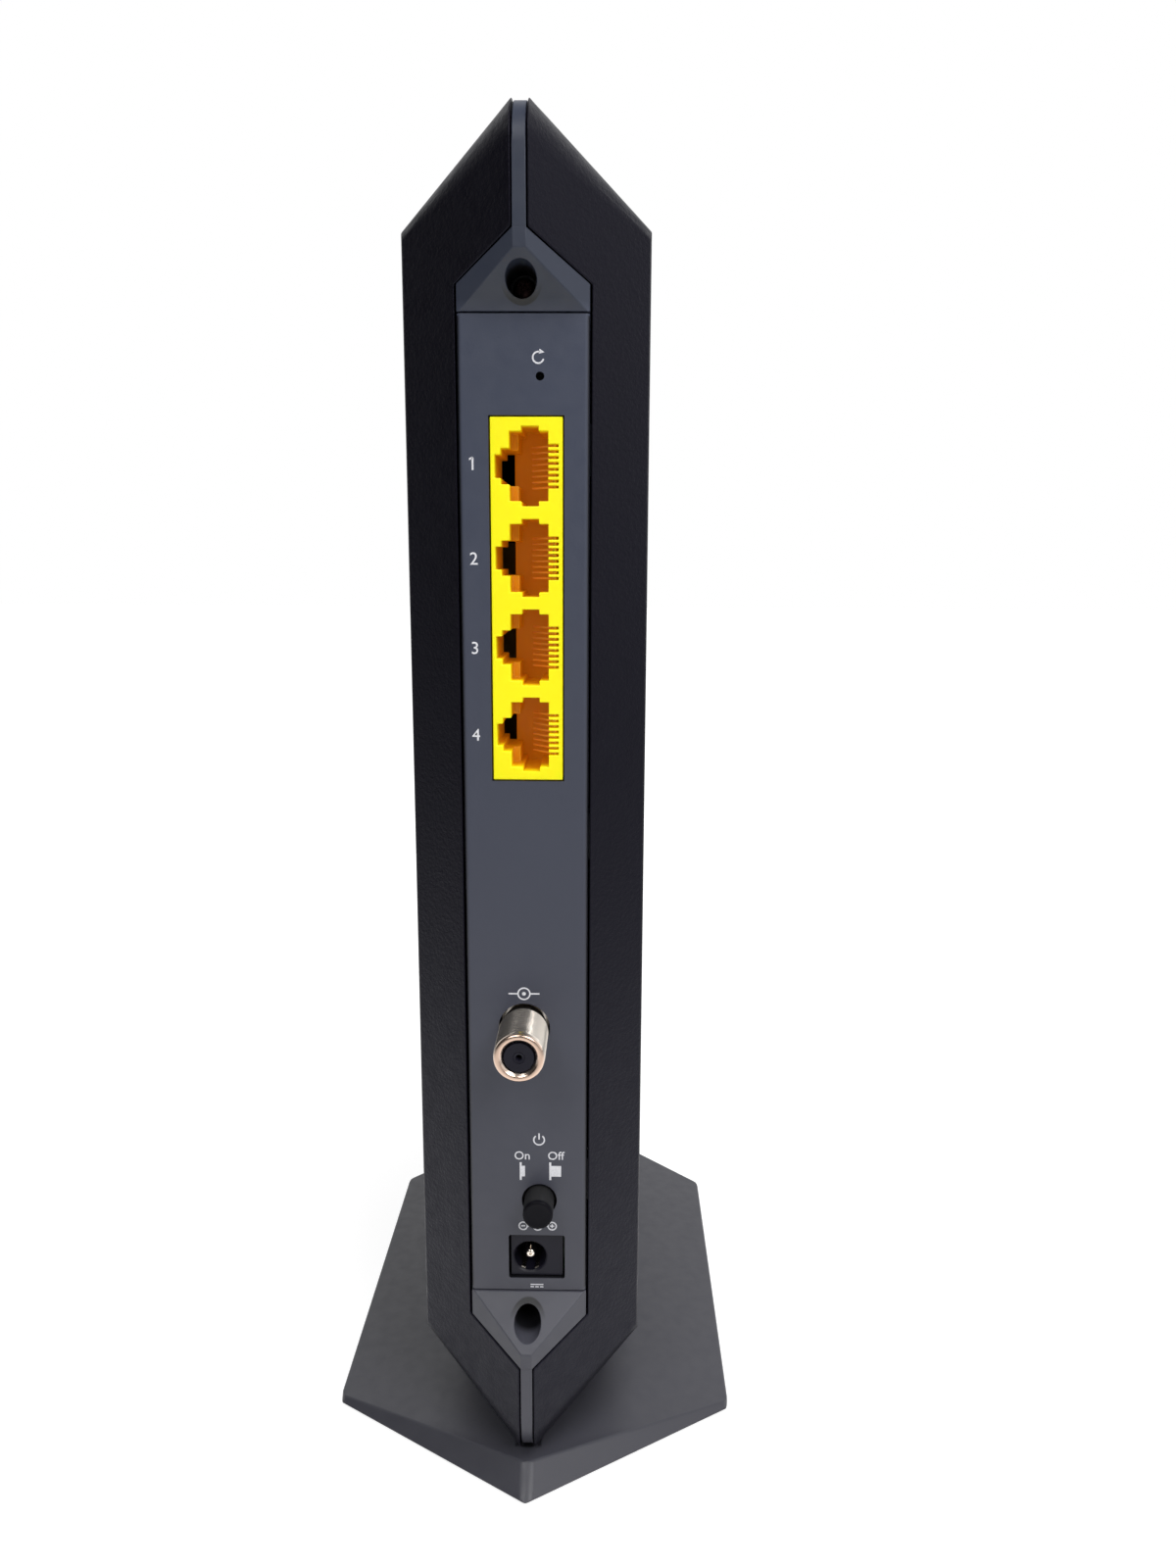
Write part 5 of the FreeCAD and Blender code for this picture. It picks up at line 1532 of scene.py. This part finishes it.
@dataclass
class PrintedMarks:
    """Thin ink marks on the connector panel."""

    film: float = 0.02
    cap: float = 2.3
    cap_share: float = 0.729
    word: float = 1.8
    bold: float = 0.012
    first_rise: float = 0.5
    numeral_x: float = -9.1

    def strip(self, x0: float, x1: float, z0: float, z1: float) -> Mesh:
        """Rectangular mark in the panel's plane, in millimetres."""
        return bar(point(x0, -self.film, z0), point(x1, self.film, z1))

    def ring(
        self, x: float, z: float, radius: float, start: float = 0.0, turn: float = 360.0
    ) -> Mesh:
        """Ring or arc in the panel's plane.

        Args:
            x: Centre along X, in millimetres.
            z: Centre along Z.
            radius: Radius of the line's middle.
            start: Angle of the arc's start in degrees, from +X towards +Z.
            turn: How far the arc goes round, in degrees.

        Returns:
            The mark's mesh.
        """
        mesh = bmesh.new()
        angle = math.radians(start)
        away = Vector((math.cos(angle), 0.0, math.sin(angle)))
        centre = point(x, 0.0, z)
        profile = [
            (radius + side * HALF, height)
            for side, height in (
                (-1, -self.film), (1, -self.film), (1, self.film), (-1, self.film)
            )
        ]
        corners = drawn(mesh, profile, centre, away, Y_AXIS)
        whole = turn >= 360.0
        edges = [mesh.edges.new((corners[n], corners[(n + 1) % 4])) for n in range(4)]
        geometry = [*corners, *edges]
        if not whole:
            geometry.append(mesh.faces.new(corners))
        bmesh.ops.spin(
            mesh, geom=geometry, cent=centre, axis=-Y_AXIS, angle=math.radians(turn),
            steps=max(10, round(turn / 9.0)), use_merge=whole,
        )
        bmesh.ops.remove_doubles(mesh, verts=mesh.verts, dist=MERGE)
        bmesh.ops.recalc_face_normals(mesh, faces=mesh.faces)
        return mesh

    def dot(self, x: float, z: float, radius: float) -> Mesh:
        """Round dot in the panel's plane."""
        return prism(radius, 2 * self.film, 24, point(x, 0.0, z))

    def arrowhead(self, x: float, z: float, angle: float, size: float) -> Mesh:
        """Triangle that points along an angle, in degrees from +X towards +Z.

        Args:
            x: Middle along X, in millimetres.
            z: Middle along Z.
            angle: Angle it points along.
            size: Reach of its point from the middle.

        Returns:
            The mark's mesh.
        """
        turn = math.radians(angle)
        corners = []
        for step, share in ((0.0, 1.0), (2.2, 0.85), (-2.2, 0.85)):
            reach = size * share
            corners.append(point(
                x + reach * math.cos(turn + step), -self.film, z + reach * math.sin(turn + step)
            ))
        return plate(corners, Y_AXIS * (2 * self.film * MM))

    def flag(self, x: float, top: float) -> Mesh:
        """Slanted start of the numeral one, from the top of its stem."""
        corners = [
            point(x + across, -self.film, top + down)
            for across, down in ((0.0, 0.0), (0.0, -0.4), (-0.62, -0.62), (-0.62, -0.3))
        ]
        return plate(corners, Y_AXIS * (2 * self.film * MM))

    def text(self, words: str, x: float, z: float, cap: float) -> Mesh:
        """Lettering in the panel's plane.

        Args:
            words: What it says.
            x: Centre along X, in millimetres.
            z: Centre of the capitals along Z.
            cap: Height of the capitals.

        Returns:
            The mark's mesh.
        """
        curve = configured(
            bpy.data.curves.new("lettering", "FONT"), body=words, align_x="CENTER",
            size=cap * MM / self.cap_share, extrude=self.film * MM,
            offset=self.bold * MM, resolution_u=4,
        )
        holder = bpy.data.objects.new("lettering", curve)
        data = bpy.data.meshes.new_from_object(holder)
        mesh = bmesh.new()
        mesh.from_mesh(data)
        bpy.data.objects.remove(holder)
        bpy.data.curves.remove(curve)
        bpy.data.meshes.remove(data)
        moved(mesh, point(x, 0.0, z - cap / 2), QUARTER_TURN)
        bmesh.ops.remove_doubles(mesh, verts=mesh.verts, dist=MERGE / 4)
        return mesh

    def symbol(self, parts: Symbol, x: float, z: float) -> list[Mesh]:
        """Meshes of one symbol.

        Args:
            parts: What the symbol is made of.
            x: Its centre along X, in millimetres.
            z: Its centre along Z.

        Returns:
            The parts' meshes.
        """
        made = [self.ring(x + across, z, *rest) for across, *rest in parts.rings]
        made += [self.arrowhead(x + ax, z + az, *rest) for ax, az, *rest in parts.arrows]
        made += [self.dot(x + across, z, radius) for across, radius in parts.dots]
        made += [self.strip(x + x0, x + x1, z + z0, z + z1) for x0, x1, z0, z1 in parts.strips]
        return made

    def build(self, bench: Bench) -> None:
        """Print every mark on the panel.

        Args:
            bench: Where the pieces get their finish and their body.
        """
        parts: list[Mesh] = []
        for port in range(1, 5):
            height = middle(f"port_{port}_contacts").z / MM
            if port == 1:
                height += self.first_rise
                parts.append(self.flag(self.numeral_x, height + self.cap / 2))
            parts.append(self.text(str(port), self.numeral_x, height, self.cap))
        for mark in MARKS:
            centre = middle(mark.node) / MM
            x, z = centre.x + mark.across, centre.z + mark.up
            if isinstance(mark.what, Glyph):
                parts += self.symbol(mark.what.value, x, z)
            else:
                parts.append(self.text(mark.what, x, z, self.word))
        marks = moved(gathered(parts), Y_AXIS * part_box("io_panel")[0].y)
        coat(bench.add("panel_print", marks, Slot.FRAME_GREY), bench.ink)


# ---------------------------------------------------------------- stand
@dataclass
class Stand:
    """Hexagonal stand and its rubber pads."""

    edge: float = 0.25
    segments: int = 4
    corner: float = 1.6
    brim: float = 0.4
    brim_height: float = 6.0
    side_reach: float = 0.2
    end_reach: float = 7.5
    upright_drift: float = 0.3
    upright_rise: float = 0.8
    pad_edge: float = 0.25
    pads: int = 6

    def rim(self, start: Vector, end: Vector) -> float:
        """Softening of an edge of the stand.

        Args:
            start: One end of the edge, in millimetres.
            end: Its other end.

        Returns:
            A width for the hexagon's upright corners, another for the rest of its
            outermost edges, and 0 elsewhere.
        """
        low, high = (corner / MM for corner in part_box("stand"))
        outer = all(
            abs(abs(place.x) - high.x) < self.side_reach
            or not low.y + self.end_reach < place.y < high.y - self.end_reach
            for place in (start, end)
        )
        if max(start.z, end.z) > self.brim_height or not outer:
            return 0.0
        across, up = abs(start.x - end.x), abs(start.z - end.z)
        upright = across < self.upright_drift and up > self.upright_rise
        return self.corner if upright else self.brim

    def build(self, bench: Bench) -> None:
        """Make the stand and its pads on the bench."""
        bench.softened(
            "stand", Slot.FRAME_GREY, self.edge, segments=self.segments, wider=self.rim
        )
        for pad in range(1, self.pads + 1):
            bench.softened(f"foot_{pad}", Slot.FOOT_RUBBER, self.pad_edge)


# ---------------------------------------------------------------- inside
@dataclass
class Inside:
    """Circuit board with its components, lamps, light guide and lens."""

    kept: dict[Slot, tuple[str, ...]] = field(default_factory=lambda: {
        Slot.CIRCUIT_BOARD: ("main_board",),
        Slot.STEEL_SCREW: ("board_screws",),
        Slot.CHIP_BLACK: (
            "processor", "memory_chip_1", "memory_chip_2", "flash_chip", "ethernet_chip",
            "wifi_chip_1", "wifi_chip_2", "magnetics_1", "magnetics_2",
        ),
        Slot.SOFT_PAD: ("thermal_pad",),
        Slot.SINK_ALUMINIUM: ("heat_sink",),
        Slot.TINNED_SHEET: ("tuner_frame", "tuner_lid", "wifi_antenna_1", "wifi_antenna_2"),
        Slot.FERRITE: ("inductor_1", "inductor_2"),
        Slot.CAN_ALUMINIUM: ("capacitor_1", "capacitor_2", "capacitor_3", "crystal"),
        Slot.CLEAR_PLASTIC: ("indicator_leds", "light_guide"),
        Slot.TINTED_LENS: ("indicator_lens",),
        Slot.BLACK_MOULDING: ("heat_sink_pins",),
    })

    def build(self, bench: Bench) -> None:
        """Give every inner solid its finish."""
        for slot, nodes in self.kept.items():
            bench.keep(slot, *nodes)


# ---------------------------------------------------------------- studio
@dataclass(frozen=True)
class SoftBox:
    """One large soft lamp that looks at the product."""

    name: str
    place: Flat
    height: float
    size: float
    power: float
    mirrored: bool = True


@dataclass
class Studio:
    """Pale floor, white backdrop, soft lamps and the camera."""

    aim: tuple[float, float, float] = (0.0, -0.03, 0.13)
    lamps: tuple[SoftBox, ...] = (
        SoftBox("lamp_top", (0.4, -0.1), 1.35, 0.8, 11.0, mirrored=False),
        SoftBox("lamp_right", (0.65, -0.95), 1.05, 0.7, 8.5),
        SoftBox("lamp_left", (-0.4, -1.0), 1.1, 0.6, 5.5),
    )
    ambient: float = 0.34
    behind: tuple[Flat, Flat] = ((0.15, 0.6), (0.04, 1.0))
    beside: tuple[Flat, Flat] = ((0.3, 0.95), (0.0, 0.8))
    floor_half: float = 4.0
    floor_shade: float = 170.0
    floor_seen: tuple[Flat, Flat] = ((0.2, 0.5), (0.8, 1.0))
    floor_mirrored: tuple[Flat, Flat] = ((0.12, 0.45), (0.75, 0.02))
    eye: tuple[float, float, float] = (15.156, -282.646, 184.33)
    focal_share: float = 1205.63 / 1600.0
    pitch: float = 10.967
    heading: float = 0.951
    roll: float = 0.24
    sensor: float = 36.0

    def camera(self) -> bpy.types.Object:
        """Make the camera.

        Returns:
            The camera's object.
        """
        pitch, heading = math.radians(self.pitch), math.radians(self.heading)
        ahead = Vector((
            -math.sin(heading) * math.cos(pitch), math.cos(heading) * math.cos(pitch),
            -math.sin(pitch),
        ))
        turn = Matrix.Rotation(-math.radians(self.roll), 3, ahead)
        right = turn @ Vector((math.cos(heading), math.sin(heading), 0.0))
        up = right.cross(ahead)
        lens = configured(
            bpy.data.cameras.new("camera"), sensor_width=self.sensor,
            lens=self.focal_share * self.sensor, clip_start=0.01,
        )
        made = placed("camera", lens)
        basis = Matrix((right, up, -ahead)).transposed()
        made.matrix_world = Matrix.Translation(point(*self.eye)) @ basis.to_4x4()
        return made

    def lamp(self, box: SoftBox) -> None:
        """Hang one soft box, turned to the product.

        Args:
            box: What the lamp is like and where it hangs.
        """
        light = configured(
            bpy.data.lights.new(box.name, "AREA"), shape="SQUARE", size=box.size,
            energy=box.power,
        )
        spot = Vector((*box.place, box.height))
        turn = (spot - Vector(self.aim)).to_track_quat("Z", "Y").to_euler()
        configured(
            placed(box.name, light), location=spot, rotation_euler=turn,
            visible_glossy=box.mirrored,
        )

    @staticmethod
    def backdrop(graph: NodeTree, strength: object) -> Socket:
        """White light from all round, with a strength.

        Args:
            graph: The world's nodes.
            strength: Number or socket.

        Returns:
            The light's socket.
        """
        made = graph.node("ShaderNodeBackground")
        made.inputs["Color"].default_value = (1.0, 1.0, 1.0, 1.0)
        graph.feed(made.inputs["Strength"], strength)
        return made.outputs[0]

    @staticmethod
    def either(graph: NodeTree, share: Socket, first: Socket, second: Socket) -> Socket:
        """The first of two shaders where the share is 0, the second where it is 1.

        Args:
            graph: Nodes that hold both shaders.
            share: Socket that is 0 for the first, 1 for the second.
            first: A shader's socket.
            second: A shader's socket.

        Returns:
            The mixed shader's socket.
        """
        made = graph.node("ShaderNodeMixShader")
        for slot, value in enumerate((share, first, second)):
            graph.link(value, made.inputs[slot])
        return made.outputs[0]

    def world(self) -> None:
        """White backdrop; softer light on the product, darker beside the camera."""
        world = bpy.data.worlds.new("studio")
        world.use_nodes = True
        graph = NodeTree(world.node_tree)
        output = graph.node("ShaderNodeOutputWorld")
        direction = graph.split(graph.node("ShaderNodeTexCoord").outputs["Generated"])
        fades = [
            graph.remap(direction[axis], *spans)
            for axis, spans in (("Y", self.behind), ("X", self.beside))
        ]
        plain, seen, mirrored = (
            self.backdrop(graph, strength)
            for strength in (self.ambient, 1.0, graph.math("ADD", *fades))
        )
        camera, bent = graph.rays()
        light = self.either(graph, bent, self.either(graph, camera, plain, seen), mirrored)
        graph.link(light, output.inputs["Surface"])
        bpy.context.scene.world = world

    def floor(self) -> None:
        """Lay the pale floor, which keeps the product's shadow."""
        mesh = bmesh.new()
        bmesh.ops.create_grid(mesh, x_segments=1, y_segments=1, size=self.floor_half)
        made = plain_object("floor", mesh)
        graph = NodeGraph("pale_floor")
        shade = self.floor_shade
        graph.set("Base Color", display(shade, shade, shade))
        graph.set("Roughness", 0.9)
        graph.set("Specular IOR Level", 0.0)
        reach = graph.node("ShaderNodeVectorMath", operation="LENGTH")
        graph.link(graph.place, reach.inputs[0])
        shares = [
            graph.math("MULTIPLY", ray, graph.remap(reach.outputs["Value"], *spans))
            for ray, spans in zip(graph.rays(), (self.floor_seen, self.floor_mirrored))
        ]
        glow = graph.node("ShaderNodeEmission")
        graph.link(graph.math("ADD", *shares), glow.inputs["Strength"])
        lit = graph.node("ShaderNodeAddShader")
        graph.link(graph.shader.outputs[0], lit.inputs[0])
        graph.link(glow.outputs[0], lit.inputs[1])
        graph.link(lit.outputs[0], graph.output.inputs["Surface"])
        coat(made, graph.material)

    def build(self) -> None:
        """Set up the studio."""
        for box in self.lamps:
            self.lamp(box)
        self.world()
        self.floor()
        bpy.context.scene.camera = self.camera()
        bpy.context.scene.view_settings.view_transform = "Standard"


def main() -> None:
    """Build the dressed product and its studio."""
    logging.basicConfig(level=logging.INFO, format="%(name)s: %(message)s")
    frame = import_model()
    bench = Bench(frame["nodes"])
    for assembly in (
        Housing(), CaseScrews(), NetworkSockets(), CableConnector(), PowerInlet(),
        Buttons(), PrintedMarks(), Stand(), Inside(),
    ):
        assembly.build(bench)
    Studio().build()
    LOG.info("%d pieces made", bench.count)


if __name__ == "__main__":
    main()
